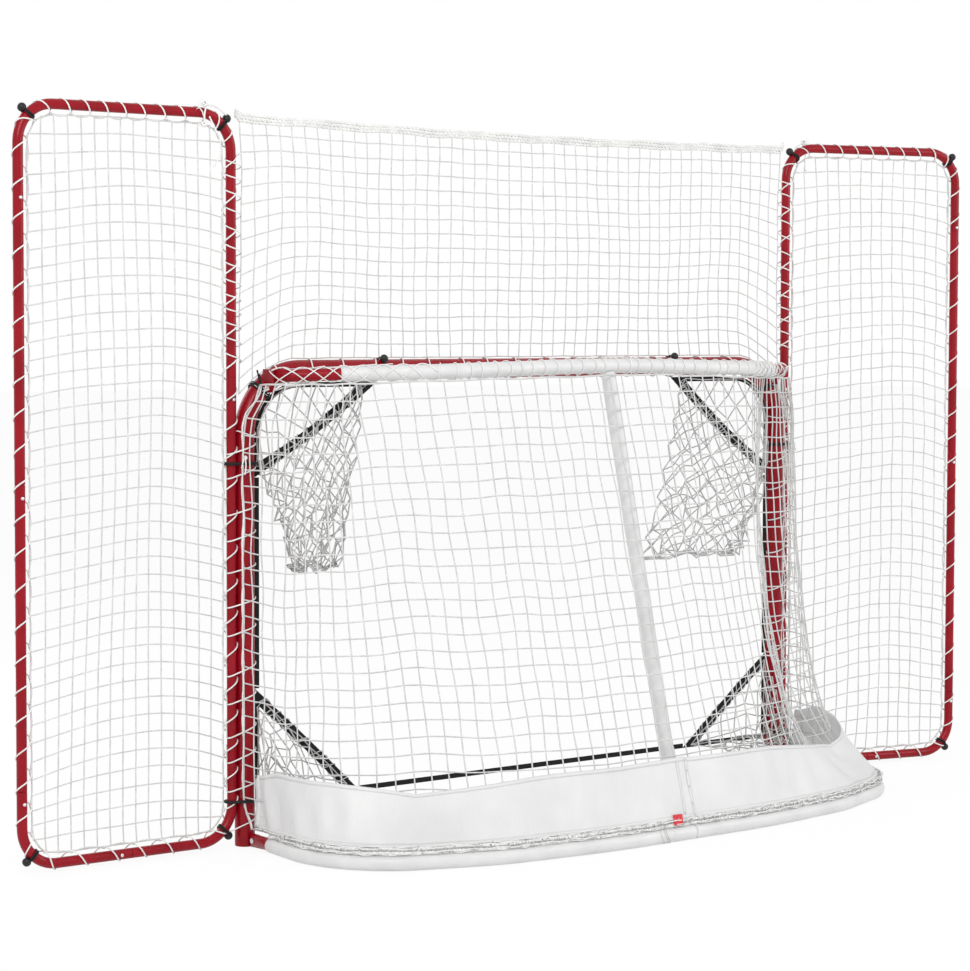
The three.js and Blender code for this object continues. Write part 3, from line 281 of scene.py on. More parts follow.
cloth = Finish("white_coated_cloth", 0.5, Sheen_Weight=0.05)
cloth.colour(cloth.texture("Noise", 6.0, Detail=6.0), (0.66, 0.66, 0.66), (0.75, 0.75, 0.748), 0.25)
cloth.bump(cloth.texture("Noise", 22.0, stretch=(1, 1, 0.6), Detail=5.0, Distortion=0.6), 0.004, 0.5)
cloth.bump(cloth.texture("Wave", 420.0, bands_direction="DIAGONAL", Distortion=0.5), 0.00008, 0.5)

belt = Finish("black_webbing", 0.85, Specular_IOR_Level=0.12)
rib = belt.texture("Wave", 300.0, bands_direction="DIAGONAL", Distortion=0.4)
belt.colour(rib, (0.008, 0.008, 0.009), (0.03, 0.03, 0.032), 0.2)
belt.bump(rib, 0.0004, 0.8)
belt.bump(belt.texture("Noise", 1200.0, Detail=2.0), 0.0002, 0.5)

elastic = Finish("black_elastic", 0.55, Specular_IOR_Level=0.2)
braid = elastic.texture("Wave", 380.0, bands_direction="DIAGONAL", Distortion=2.0)
elastic.colour(braid, (0.006, 0.006, 0.007), (0.022, 0.022, 0.024), 0.2)
elastic.bump(braid, 0.0004, 0.7)

moulded = Finish("black_moulded_plastic", 0.4, Specular_IOR_Level=0.3)
cloud = moulded.texture("Noise", 90.0, Detail=4.0)
moulded.colour(cloud, (0.008, 0.008, 0.009), (0.02, 0.02, 0.021))
moulded.bump(cloud, 0.0002, 0.4)

zinc = Finish("zinc_plate", 0.32, 1.0)
cloud = zinc.texture("Noise", 160.0, Detail=4.0)
zinc.colour(cloud, (0.55, 0.56, 0.57), (0.75, 0.76, 0.77))
zinc.gloss(cloud, 0.25, 0.45)

tab_cloth = Finish("red_tab_cloth", 0.7, Sheen_Weight=0.3)
weave = tab_cloth.texture("Wave", 500.0, bands_direction="DIAGONAL", Distortion=0.3)
tab_cloth.colour(weave, (0.6, 0.008, 0.02), (0.75, 0.014, 0.03), 0.2)
tab_cloth.bump(weave, 0.0002, 0.7)

SLOTS = {
    "red": ("red_paint", paint.material),
    "sleeve": ("white_sleeve", vinyl.material),
    "cloth": ("white_vinyl", cloth.material),
    "twine": ("white_twine", twine("white_twine", (0.60, 0.60, 0.595), (0.76, 0.76, 0.755))),
    "lace": ("white_twine", twine("white_lacing_cord", (0.78, 0.78, 0.765), (0.9, 0.9, 0.885))),
    "grey": ("grey_twine", twine("grey_twine", (0.46, 0.46, 0.455), (0.62, 0.62, 0.615))),
    "webbing": ("black_webbing", belt.material),
    "elastic": ("black_elastic", elastic.material),
    "moulded": ("black_elastic", moulded.material),
    "zinc": ("zinc", zinc.material),
    "tab": ("white_vinyl", tab_cloth.material),
}

# ---- Shapes -------------------------------------------------------------------------------------


def tube_faces(rings, sides, closed=False):
    """The quads of a tube from ring to ring, and from the last to the first if it is closed."""
    faces = []
    for i in range(rings if closed else rings - 1):
        a, c = i * sides, (i + 1) % rings * sides
        for k in range(sides):
            n = (k + 1) % sides
            faces.append((a + k, a + n, c + n, c + k))
    return faces


def around(count, start=0.0):
    """The cosines and the sines of a whole turn in equal steps, each as a column."""
    turn = 2 * np.pi * np.arange(count) / count + start
    return np.cos(turn)[:, None], np.sin(turn)[:, None]


def sweep(points, radii, sides=8, closed=False):
    """A round bar along points, each ring turned as little as it can be from the one before."""
    points = np.asarray(points, float)
    count = len(points)
    radii = np.broadcast_to(np.asarray(radii, float), (count,))
    if closed:
        ahead, behind = np.roll(points, -1, 0), np.roll(points, 1, 0)
    else:
        ahead = np.concatenate([points[1:], points[-1:]])
        behind = np.concatenate([points[:1], points[:-1]])
    tangents = ahead - behind
    for i in np.nonzero(np.linalg.norm(tangents, axis=1) < 1e-9)[0]:
        tangents[i] = tangents[i - 1]
    tangents = unit(tangents)
    across = unit(np.cross(tangents[0], v(0.3, 0.5, 0.81)))
    frames = []
    for t in tangents:
        across = unit(across - t * across.dot(t))
        frames.append((across, np.cross(t, across)))
    twist = 0.0
    if closed:
        first = frames[0][0]
        last = unit(across - tangents[0] * across.dot(tangents[0]))
        twist = math.atan2(np.cross(last, first).dot(tangents[0]), last.dot(first))
    rings = []
    for i, (n, b) in enumerate(frames):
        cos, sin = around(sides, twist * i / count)
        rings.append(points[i] + radii[i] * (cos * n + sin * b))
    faces = tube_faces(count, sides, closed)
    if not closed:
        faces += [tuple(reversed(range(sides))), tuple(range((count - 1) * sides, count * sides))]
    return np.concatenate(rings), faces


class Shape:
    """Vertices in goal millimetres and faces, gathered from several solids into one piece."""

    def __init__(self):
        self.points, self.faces, self.count = [], [], 0

    def add(self, points, faces):
        self.points.append(np.asarray(points, float))
        self.faces.extend(tuple(i + self.count for i in face) for face in faces)
        self.count += len(points)
        return self

    def cord(self, points, radii, sides=6, closed=False):
        return self.add(*sweep(points, radii, sides, closed))

    def piece(self, name, finish, body="goal", nodes=()):
        mesh = bpy.data.meshes.new(name)
        mesh.from_pydata(part(np.concatenate(self.points)).tolist(), [], self.faces)
        mesh.validate()
        mesh.update()
        mesh.shade_smooth()
        slot, material = SLOTS[finish]
        mesh.materials.append(material)
        made = linked(name, mesh)
        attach(made, body)
        if nodes:
            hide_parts(*nodes)
        return made


def recalculated(obj):
    """Turns every face of a piece outwards."""
    work = bmesh.new()
    work.from_mesh(obj.data)
    bmesh.ops.recalc_face_normals(work, faces=work.faces)
    work.to_mesh(obj.data)
    work.free()
    return obj


def sharp(obj, degrees=35):
    """Turns every face of a piece outwards and keeps its edges crisp."""
    recalculated(obj).data.shade_smooth()
    obj.data.set_sharp_from_angle(angle=math.radians(degrees))


def bars(a, b, radius, sides=5):
    """Straight round bars from each point of a to the same point of b, all in one go."""
    t = unit(b - a)
    n = unit(np.cross(t, np.where(np.abs(t[:, 2:3]) > 0.8, v(1, 0, 0), v(0, 0, 1))))
    cos, sin = around(sides)
    spokes = radius * (cos * n[:, None] + sin * np.cross(t, n)[:, None])
    points = np.concatenate([a[:, None] + spokes, b[:, None] + spokes], axis=1).reshape(-1, 3)
    bar = tube_faces(2, sides)
    return points, [tuple(2 * sides * i + k for k in face) for i in range(len(a)) for face in bar]


KNOT = np.array([(1, 0, 0), (0, 1, 0), (-1, 0, 0), (0, -1, 0), (0, 0, 1), (0, 0, -1)], float)
KNOT_FACES = [(0, 1, 4), (1, 2, 4), (2, 3, 4), (3, 0, 4), (1, 0, 5), (2, 1, 5), (3, 2, 5), (0, 3, 5)]


def knots(centres, radius):
    points = (centres[:, None] + KNOT[None] * radius).reshape(-1, 3)
    return points, [tuple(6 * i + k for k in face) for i in range(len(centres)) for face in KNOT_FACES]


def ball(centre, radius, rings=10):
    """The middles and the radii of a ball's rings, from its foot to its top."""
    turn = np.linspace(-np.pi / 2 + 0.05, np.pi / 2 - 0.05, rings)
    return [centre + v(0, 0, radius * math.sin(a)) for a in turn], [radius * math.cos(a) for a in turn]


def loop_points(centre, axis, radius, steps=26, wobble=0.0):
    """A ring about an axis, bent out of its plane by the wobble."""
    n = unit(np.cross(axis, v(0.21, 0.37, 0.9)))
    cos, sin = around(steps)
    ring = centre + radius * (cos * n + sin * np.cross(axis, n))
    return ring + axis * (wobble * 2 * sin * cos)


def grid_of(rows, columns, place):
    """A grid of points: place gets the share of the way up and the share of the way along."""
    return np.array([[place(j / rows, i / columns) for i in range(columns + 1)] for j in range(rows + 1)])


def net_shape(grid, radius=TWINE, knot=KNOT_R):
    """Twine along every row and column of a grid of knots."""
    shape = Shape()
    for a, b in ((grid[:, :-1], grid[:, 1:]), (grid[:-1], grid[1:])):
        shape.add(*bars(a.reshape(-1, 3), b.reshape(-1, 3), radius))
    return shape.add(*knots(grid.reshape(-1, 3), knot))


def wander(shape, scale, amount):
    """Smooth seeded noise over a grid, as a sum of random waves."""
    j, i = np.mgrid[0 : shape[0], 0 : shape[1]].astype(float)
    total = np.zeros((*shape, 3))
    for _ in range(5):
        wave = RNG.normal(size=2) / scale
        phase = RNG.uniform(0, 2 * np.pi, 3)
        total += np.sin((i * wave[0] + j * wave[1])[..., None] + phase) * RNG.normal(size=3)
    return total * amount / 3


def near_edge(count, per_share):
    """How far each of a row of knots is held from the edge: 0 at it and 1 well inside."""
    share = np.linspace(0, 1, count)
    return (np.minimum(share, 1 - share) * per_share).clip(0, 1)


def lengths_along(points):
    return np.concatenate([[0], np.cumsum(np.linalg.norm(np.diff(points, axis=0), axis=1))])


def points_at(marks, known, points):
    """Points of a line at marks, from its own points at known lengths."""
    return np.stack([np.interp(marks, known, points[:, k]) for k in range(points.shape[1])], -1)


def fine_line(a, b, step):
    count = max(2, math.ceil(np.linalg.norm(b - a) / step))
    return a + (b - a) * np.linspace(0, 1, count + 1)[:, None]


def spun(a, axis, turn):
    """A vector turned about an axis."""
    cos, sin = math.cos(turn), math.sin(turn)
    return a * cos + np.cross(axis, a) * sin + axis * axis.dot(a) * (1 - cos)


class BentPath:
    """A route of straight runs joined by round bends, the same as the CAD's."""

    def __init__(self, corners):
        self.runs, self.bends, self.length = [], [], 0.0
        here = corners[0][0]
        for i in range(1, len(corners) - 1):
            at, bend = corners[i]
            before = unit(at - corners[i - 1][0])
            after = unit(corners[i + 1][0] - at)
            turn = math.acos(np.clip(before.dot(after), -1, 1))
            cut = bend * math.tan(turn / 2)
            start = at - before * cut
            self.straight(here, start)
            axis = unit(np.cross(before, after))
            centre = start + np.cross(axis, before) * bend
            self.runs.append((self.length, turn * bend, ("bend", centre, start - centre, axis, bend, before)))
            self.bends.append((self.length, self.length + turn * bend))
            self.length += turn * bend
            here = at + after * cut
        self.straight(here, corners[-1][0])

    def straight(self, a, b):
        length = np.linalg.norm(b - a)
        self.runs.append((self.length, length, ("run", a, unit(b - a))))
        self.length += length

    def station(self, s):
        """The point and the direction at a length along the route."""
        for start, length, form in self.runs:
            if s <= start + length + 1e-6:
                break
        d = s - start
        if form[0] == "run":
            return form[1] + form[2] * d, form[2]
        _, centre, spoke, axis, bend, before = form
        return centre + spun(spoke, axis, d / bend), spun(before, axis, d / bend)

    def at(self, s):
        return self.station(s)[0]

    def level_out(self, s):
        """The point and the direction at a length, and the level way out of the goal from it."""
        p, t = self.station(s)
        return p, t, -unit(np.cross(v(0, 0, 1), t))

    def marks(self, start, end, step=math.radians(5), longest=400.0):
        """Lengths along the route, close together round its bends."""
        found = [start, end]
        for s, length, form in self.runs:
            pitch = form[4] * step if form[0] == "bend" else longest
            count = max(math.ceil(length / pitch), 1)
            found += [s + length * k / count for k in range(count + 1)]
        found = sorted(f for f in found if start - 1e-6 <= f <= end + 1e-6)
        return [f for i, f in enumerate(found) if i == 0 or f - found[i - 1] > 0.4]


def steel_tube(path, start, end, r, wall, spigot=0.0, spigot_first=False, flat=(), sides=28):
    """A tube with rounded lips. A spigot is drawn down to enter the next tube."""
    lip, depth = 0.7, 25
    inner = r - wall
    neck = inner - 0.3
    profile = [(start + depth, inner), (start, inner), (start, r - lip), (start + lip, r)]
    profile += [(s, r) for s in path.marks(start, end) if start + lip < s < end - lip]
    profile += [(end - lip, r), (end, r - lip)]
    if spigot and not spigot_first:
        profile += [(end, neck), (end + spigot, neck)]
    else:
        profile += [(end, inner), (end - depth, inner)]
    if spigot and spigot_first:
        profile[0:2] = [(start - spigot, neck), (start, neck)]
    reference = v(0, 0, 1) if flat else v(0, 1, 0)
    cos, sin = around(sides)
    points = []
    for s, q in profile:
        s = min(max(s, 0), path.length)
        p, t = path.station(s)
        n = unit(reference - t * reference.dot(t))
        high, wide = q, q
        if flat:
            press = flatness(s, flat, path.length)
            high = q + (FLAT_HALF - r) * press
            wide = max(q + (FLAT_THICK - r) * press, 0.5)
        points.append(p + high * cos * n + wide * sin * np.cross(t, n))
    return np.concatenate(points), tube_faces(len(profile), sides)


def flatness(s, ends, length):
    """How far a tube is pressed flat at s: 1 over the first part of an end, and 0 past its ease."""
    near = min([s] * ("start" in ends) + [length - s] * ("end" in ends) + [1e9])
    return 1 - smooth(near, FLAT_RUN, FLAT_END)


def plate_box(low, high, bevel=0.8):
    """A box with its edges cut off, as welded plate."""
    low, high = np.asarray(low, float), np.asarray(high, float)
    middle, half = (low + high) / 2, (high - low) / 2
    corners = list(product((-1, 1), repeat=3))
    index = {(corner, axis): 3 * i + axis for i, corner in enumerate(corners) for axis in range(3)}
    insets = bevel * (1 - np.eye(3))
    points = [middle + np.array(corner) * (half - inset) for corner in corners for inset in insets]
    faces = [tuple(index[corner, axis] for axis in range(3)) for corner in corners]
    for axis in range(3):
        u, w = (axis + 1) % 3, (axis + 2) % 3

        def corner(side, a, b):
            return tuple({axis: side, u: a, w: b}[k] for k in range(3))

        for side in (-1, 1):
            turns = ((-1, -1), (1, -1), (1, 1), (-1, 1))
            faces.append(tuple(index[corner(side, a, b), axis] for a, b in turns))
        for a, b in product((-1, 1), repeat=2):
            near, far = corner(-1, a, b), corner(1, a, b)
            faces.append((index[near, u], index[far, u], index[far, w], index[near, w]))
    return np.array(points), faces


def normals(grid):
    return unit(np.cross(np.gradient(grid, axis=1), np.gradient(grid, axis=0)))


def sheet_shape(grid, thickness):
    """A thin closed sheet from a grid of points, thickened along its own normals."""
    rows, columns = grid.shape[:2]
    count = rows * columns
    half = normals(grid) * thickness / 2
    at = np.arange(count).reshape(rows, columns)
    quads = np.stack([at[:-1, :-1], at[:-1, 1:], at[1:, 1:], at[1:, :-1]], -1).reshape(-1, 4)
    rim = np.concatenate([at[0], at[1:, -1], at[-1, -2::-1], at[-2:0:-1, 0]]).tolist()
    faces = quads.tolist() + (count + quads[:, ::-1]).tolist()
    faces += [(b, a, count + a, count + b) for a, b in zip(rim, rim[1:] + rim[:1])]
    return Shape().add(np.concatenate([(grid + half).reshape(-1, 3), (grid - half).reshape(-1, 3)]), faces)


# ---- Mouth frame --------------------------------------------------------------------------------

frame_path = BentPath([
    (v(POST_X, 0, 0), 0),
    (v(POST_X, 0, BAR_Z), POST_BEND),
    (v(-POST_X, 0, BAR_Z), POST_BEND),
    (v(-POST_X, 0, 0), 0),
])
L = frame_path.length
bar_start = L / 2 - BAR_LENGTH / 2
SEAM = 0.5
BRACKET_X = POST_X - 2
SHELF_TAB_X = POST_X - POST_BEND * (1 - math.sqrt(0.5)) - FLAT_THICK - 4

for name, sign in SIDES:
    spans = ((0, POST_SEAM), (POST_SEAM + SEAM, bar_start))
    low, high = spans if sign > 0 else [(L - end, L - start) for start, end in spans]
    post = Shape().add(*steel_tube(frame_path, *low, POST_R, FRAME_WALL))
    post.cord([v(sign * POST_X, 0, 0), v(sign * POST_X, 0, 2)], POST_R - 0.8, 28)
    x = sign * BRACKET_X
    post.add(*plate_box((x - 2, POST_R - 3, BASE_Z - 16), (x + 2, POST_R + 34, BASE_Z + 16)))
    sharp(post.piece(f"{name}_post", "red", nodes=[f"post_{name}"]))

    corner = Shape().add(*steel_tube(frame_path, *high, POST_R, FRAME_WALL, FRAME_SPIGOT, sign > 0))
    near, far = sorted((sign * (SHELF_TAB_X + 3.5), sign * (SHELF_TAB_X + 7.5)))
    corner.add(*plate_box((near, 12, 1136), (far, POST_R + 34, 1194)))
    sharp(corner.piece(f"{name}_corner", "red", nodes=[f"corner_{name}"]))

crossbar = Shape().add(*steel_tube(frame_path, bar_start + SEAM, L - bar_start - SEAM, POST_R, FRAME_WALL))
sharp(crossbar.piece("bar_middle", "red", nodes=["crossbar"]))

# ---- Rails and sleeves --------------------------------------------------------------------------


def both_halves(half, middle=()):
    """A rail's corners from its left end, through its middle, to its right end."""
    return [*half, *middle, *((at * v(-1, 1, 1), bend) for at, bend in reversed(half))]


base_tab_x = BRACKET_X + 2 + 0.3 + FLAT_THICK
base_path = BentPath(both_halves([
    (v(base_tab_x, RAIL_FRONT, BASE_Z), 0),
    (v(base_tab_x, RAIL_FRONT + 76, BASE_Z), 120),
    (v(988, 455, BASE_Z), 270),
    (v(600, 601, BASE_Z), 500),
    (v(280, 642, BASE_Z), 1500),
]))
SHELF_TURN_Y = RAIL_FRONT + 34 + 21
shelf_half = [
    (v(SHELF_TAB_X, RAIL_FRONT, SHELF_Z), 0),
    (v(SHELF_TAB_X, SHELF_TURN_Y, SHELF_Z), 60),
    (v(SHELF_CORNER_X, SHELF_REAR, SHELF_CORNER_Z), 110),
]
shelf_path = BentPath(both_halves(shelf_half, [(v(0, SHELF_REAR, 1201), 4000)]))
BASE_MIDDLE = base_path.length / 2
centre_path = BentPath([
    (shelf_path.at(shelf_path.length / 2), 0),
    (v(0, 548, 185), 900),
    (base_path.at(BASE_MIDDLE) - v(0, 16, 0), 0),
])

for name, sign in SIDES:
    points, faces = steel_tube(
        base_path, 0, BASE_MIDDLE - SEAM, RAIL_R, RAIL_WALL, RAIL_SPIGOT * (sign > 0), flat=("start",)
    )
    arm = Shape().add(points * v(sign, 1, 1), faces)
    sharp(arm.piece(f"{name}_base_arm", "red", nodes=[f"base_arm_{name}"]))
shelf = Shape().add(*steel_tube(shelf_path, 0, shelf_path.length, RAIL_R, RAIL_WALL, flat=("start", "end")))
sharp(shelf.piece("shelf_tube", "red", nodes=["shelf_rail"]))
centre_marks = centre_path.marks(22, centre_path.length - 22)
centre_tube = Shape().cord([centre_path.at(s) for s in centre_marks], CENTRE_R, 24)
centre_tube.piece("centre_tube", "red", nodes=["centre_bar"])


def padded_sleeve(path, start, end, seed):
    """A soft sleeve: slightly uneven round, with its two ends turned in."""
    phase = np.random.default_rng(seed).uniform(0, 6.28, 4)
    rings = [(start, SLEEVE_R - 3.2), (start + 0.3, SLEEVE_R - 0.8)]
    for s in path.marks(start, end, math.radians(3), 14.0):
        if s - start >= 1.2 and end - s >= 1.2:
            swell = 0.25 * math.sin(s / 37 + phase[0]) + 0.2 * math.sin(s / 17 + phase[1])
            rings.append((s, SLEEVE_R + swell))
    rings += [(end - 0.3, SLEEVE_R - 0.8), (end, SLEEVE_R - 3.2)]
    return sweep([path.at(s) for s, _ in rings], [r for _, r in rings], 24)


for name, sign in SIDES:
    points, faces = padded_sleeve(base_path, 92, BASE_MIDDLE - 0.8, 11 + sign)
    points[:, 2] = np.maximum(points[:, 2], 0.2)
    base_sleeve = Shape().add(points * v(sign, 1, 1), faces)
    made = recalculated(base_sleeve.piece(f"{name}_base_sleeve", "sleeve", nodes=[f"base_sleeve_{name}"]))
shelf_sleeve = Shape().add(*padded_sleeve(shelf_path, 195, shelf_path.length - 195, 5))
recalculated(shelf_sleeve.piece("shelf_cover", "sleeve", nodes=["shelf_sleeve"]))
centre_sleeve = Shape().add(*padded_sleeve(centre_path, 19, centre_path.length - 20, 6))
recalculated(centre_sleeve.piece("centre_cover", "sleeve", nodes=["centre_sleeve"]))

# ---- Wings --------------------------------------------------------------------------------------

foot_middle = v(WING_WIDTH / 2, 0, WING_FOOT)
WING_CENTRE = foot_middle + v(0, 0, WING_HEIGHT / 2)
wing_path = BentPath([
    (foot_middle, 0),
    (v(WING_WIDTH, 0, WING_FOOT), WING_BEND),
    (v(WING_WIDTH, 0, WING_TOP), WING_BEND),
    (v(0, 0, WING_TOP), WING_BEND),
    (v(0, 0, WING_FOOT), WING_BEND),
    (foot_middle, 0),
])


def outer_at(z):
    return wing_path.bends[0][1] + z - WING_FOOT - WING_BEND


def inner_at(z):
    return wing_path.bends[2][1] + WING_TOP - WING_BEND - z


SEAM_LOW, SEAM_MIDDLE, SEAM_HIGH, SEAM_INNER = outer_at(200), outer_at(926), outer_at(1633), inner_at(1121)
WING_TUBES = (
    ("foot_outer", 0, SEAM_LOW),
    ("upright_lower", SEAM_LOW, SEAM_MIDDLE),
    ("upright_upper", SEAM_MIDDLE, SEAM_HIGH),
    ("top_bow", SEAM_HIGH, SEAM_INNER),
    ("foot_inner", SEAM_INNER, wing_path.length),
)
BUTTONS = (inner_at(1119), outer_at(1600), outer_at(895), outer_at(170), 30)


def wing_place(name, points):
    """From a wing's own frame to the goal's."""
    sign = 1 if name == "left" else -1
    turn = math.radians(SWEEP[name])
    angle = turn if sign > 0 else math.pi - turn
    c, s = math.cos(angle), math.sin(angle)
    x, y, z = np.moveaxis(np.asarray(points, float), -1, 0)
    return np.stack([sign * WING_X + c * x - s * y, s * x + c * y, z], -1)


WING_GRID = {"left": (15, 41), "right": (14, 42)}
# How a wing's rows arch: where their crown is, from the inner upright at 0 to the outer one at 1, and
# how far they fall to the inner and the outer side, at the foot and at the top of the wing.
WING_ARCH = {"left": (0.40, (44, 30), (48, 30)), "right": (0.62, (56, 34), (30, 34))}
WING_EDGE = WING_R + 12


def wing_net(name, rear):
    """The wing's net, hung from its tube with its rows arched."""
    columns, rows = WING_GRID[name]
    u = np.linspace(0, 1, columns + 1)[None, :]
    w = np.linspace(0, 1, rows + 1)[:, None]
    x = WING_EDGE + (WING_WIDTH - 2 * WING_EDGE) * u + 0 * w
    z = WING_FOOT + WING_EDGE + (WING_HEIGHT - 2 * WING_EDGE) * w + 0 * u
    grid = np.stack([x, 0 * x, z], -1)
    crown, inner_fall, outer_fall = WING_ARCH[name]
    held = (w * 9).clip(0, 1) * ((1 - w) * 11).clip(0, 1)
    inner = np.clip((crown - u) / crown, 0, 1) ** 1.8 * mixed(*inner_fall, w)
    outer = np.clip((u - crown) / (1 - crown), 0, 1) ** 1.8 * mixed(*outer_fall, w)
    grid[..., 2] += (14 - inner - outer) * held
    bow = np.sin(np.pi * u) * np.ones_like(w)
    grid[..., 0] += (5 * np.sin(2 * np.pi * u) + 12 * bow * (1 - w) ** 6) * np.sin(np.pi * w) ** 0.5
    grid[..., 1] += rear * 14 * bow * np.sin(np.pi * w)
    inside = near_edge(rows + 1, 16)[:, None] * near_edge(columns + 1, 6)
    grid += wander(grid.shape[:2], 3.0, 4.5) * inside[..., None]
    grid += wander(grid.shape[:2], 0.8, 2.0)
    # The corners of the net follow the tube's bends.
    cx = grid[..., 0].clip(WING_BEND, WING_WIDTH - WING_BEND)
    cz = grid[..., 2].clip(WING_FOOT + WING_BEND, WING_TOP - WING_BEND)
    dx, dz = grid[..., 0] - cx, grid[..., 2] - cz
    most = WING_BEND - WING_EDGE
    scale = np.where((dx != 0) & (dz != 0), most / np.maximum(np.hypot(dx, dz), most), 1)
    grid[..., 0], grid[..., 2] = cx + dx * scale, cz + dz * scale
    return grid


# The lacing's turns lie closer together along the top bow.
TURN_MARKS = np.array([0, wing_path.bends[1][0], wing_path.bends[2][1], wing_path.length])
TURN_COUNTS = np.concatenate([[0], np.cumsum(np.diff(TURN_MARKS) / (80, 56, 80))])
WING_TURNS = round(TURN_COUNTS[-1])
LACE_R, LACE_REACH, LACE_SNUG = 1.9, 24.0, WING_R + 1.9


def wing_inward(share, hand):
    """A point of the wing's middle line and the way in from it, with no two turns of lacing alike."""
    s = np.interp(share * TURN_COUNTS[-1], TURN_COUNTS, TURN_MARKS)
    s += 9 * math.sin(s / 143 + hand) + 5 * math.sin(s / 61 + 2 * hand)
    p, t = wing_path.station(s % wing_path.length)
    inward = np.cross(v(0, 1, 0), t)
    return p, inward if inward.dot(WING_CENTRE - p) > 0 else -inward


def wing_lacing(hand, rear):
    """One cord wound round the tube and the net's border all the way about the wing."""
    steps = WING_TURNS * 14
    shift, wide = (LACE_REACH - LACE_SNUG) / 2, (LACE_REACH + LACE_SNUG) / 2
    deep = hand * (LACE_SNUG + 1.2) * rear
    points = []
    for i in range(steps):
        phase = 2 * np.pi * WING_TURNS * i / steps
        p, inward = wing_inward(i / steps, hand)
        points.append(p + inward * (shift + wide * math.cos(phase)) + v(0, deep * math.sin(phase), 0))
    return points


def wing_border(hand):
    """The cord along the net's edge, drawn to the tube at each turn of the lacing."""
    steps = WING_TURNS * 8
    points = []
    for i in range(steps):
        p, inward = wing_inward(i / steps, hand)
        points.append(p + inward * (WING_R + 8 + 7 * abs(math.sin(np.pi * i / 8)) ** 0.8))
    return points


for name, rear in SIDES:
    body = f"wing_{name}"
    for tube, start, end in WING_TUBES:
        spigot = WING_SPIGOT if end < wing_path.length else 0
        points, faces = steel_tube(wing_path, start + 0.4, end - 0.4, WING_R, WING_WALL, spigot, sides=22)
        made = Shape().add(wing_place(name, points), faces)
        sharp(made.piece(f"{name}_wing_{tube}", "red", body, [f"wing_{name}_{tube}"]))
    mesh = net_shape(wing_place(name, wing_net(name, rear)))
    mesh.cord(wing_place(name, wing_border(-rear)), LACE_R, closed=True)
    mesh.piece(f"{name}_wing_mesh", "twine", body, [f"wing_{name}_net"])
    lacing = Shape().cord(wing_place(name, wing_lacing(-rear, rear)), LACE_R, closed=True)
    lacing.piece(f"{name}_wing_lacing", "lace", body)
    buttons = Shape()
    for s in BUTTONS:
        # A domed spring button stands out of the tube's rear.
        rows = [wing_path.at(s) + v(0, rear * (WING_R + h), 0) for h in (-1.0, 1.2, 2.6, 3.3)]
        points, faces = sweep(rows, [4.6, 4.6, 3.4, 1.2], 16)
        buttons.add(wing_place(name, points), faces)
    recalculated(buttons.piece(f"{name}_wing_buttons", "zinc", body))

# ---- Goal net -----------------------------------------------------------------------------------

NET_OFF = SLEEVE_R + 12
NET_START = 8
BORDER_OUT, BORDER_BACK = 19.0, 20.5
CREASE_SAG = {"left": 133.0, "right": 200.0}
GOAL_ROWS, SIDE_COLUMNS, BACK_COLUMNS = 27, 12, 35
SHELF_TURN = 232.0
BASE_TURN = base_path.bends[1][1] - 15


def shelf_edge(s):
    p, _, outward = shelf_path.level_out(s)
    return p + outward * NET_OFF - v(0, 0, SLEEVE_R + 4)


def base_edge(s):
    return base_path.at(s) + v(0, 0, SLEEVE_R + 8)


def front_edge(w):
    """The net's front border: up the rear outer side of the post and round its bend."""
    line = mixed(base_edge(NET_START), shelf_edge(NET_START), w)
    over = max(0.0, line[2] - (BAR_Z - POST_BEND))
    reach = POST_BEND + BORDER_OUT
    side = POST_X - POST_BEND + math.sqrt(reach * reach - min(over, reach) ** 2)
    seated = smooth(w, 0, 0.06) * (1 - smooth(w, 0.93, 1))
    line[0] = mixed(line[0], side, seated)
    line[1] = mixed(line[1], BORDER_BACK, seated)
    return line


def crease(w):
    return mixed(base_edge(BASE_TURN), shelf_edge(SHELF_TURN), w)


def crease_sag(w, name):
    """How far the net hangs in from a straight crease, most of all a third of the way up."""
    under_rail = 40 * smooth(w, 0.25, 0.9) if name == "right" else 0
    return v(-1, -1, 0) * math.sqrt(0.5) * (CREASE_SAG[name] * math.sin(math.pi * w**0.57) + under_rail)


def patch(bottom, top, first, last, columns):
    """A grid between a bottom, a top and two side edges, each a function of the share along it."""

    def place(w, u):
        along = mixed(bottom(u), top(u), w)
        upward = mixed(first(w), last(w), u)
        return along + upward - mixed(mixed(bottom(0), bottom(1), u), mixed(top(0), top(1), u), w)

    return grid_of(GOAL_ROWS, columns, place)


side_grid = patch(
    lambda u: base_edge(mixed(NET_START, BASE_TURN, u)),
    lambda u: shelf_edge(mixed(NET_START, SHELF_TURN, u)),
    front_edge,
    crease,
    SIDE_COLUMNS,
)
back_grid = patch(
    lambda u: base_edge(mixed(BASE_TURN, base_path.length - BASE_TURN, u)),
    lambda u: shelf_edge(mixed(SHELF_TURN, shelf_path.length - SHELF_TURN, u)),
    crease,
    lambda w: crease(w) * v(-1, 1, 1),
    BACK_COLUMNS,
)
straight_net = np.concatenate([side_grid, back_grid[:, 1:]], axis=1)
left_sag, right_sag = (
    np.array([crease_sag(j / GOAL_ROWS, name) for j in range(GOAL_ROWS + 1)])[:, None] for name, _ in SIDES
)
share = np.linspace(0, 1, SIDE_COLUMNS + 1)[:, None] ** 1.5
left_side = side_grid + left_sag * share
right_side = ((side_grid + right_sag * share) * v(-1, 1, 1))[:, ::-1]
u = 1 - 2 * np.arange(BACK_COLUMNS + 1)[:, None] / BACK_COLUMNS
back_grid += u * u * np.where(u >= 0, left_sag, right_sag * v(-1, 1, 1))
goal_grid = np.concatenate([left_side, back_grid[:, 1:], right_side[:, 1:]], axis=1)
rows, columns = goal_grid.shape[:2]
w = np.linspace(0, 1, rows)[:, None]
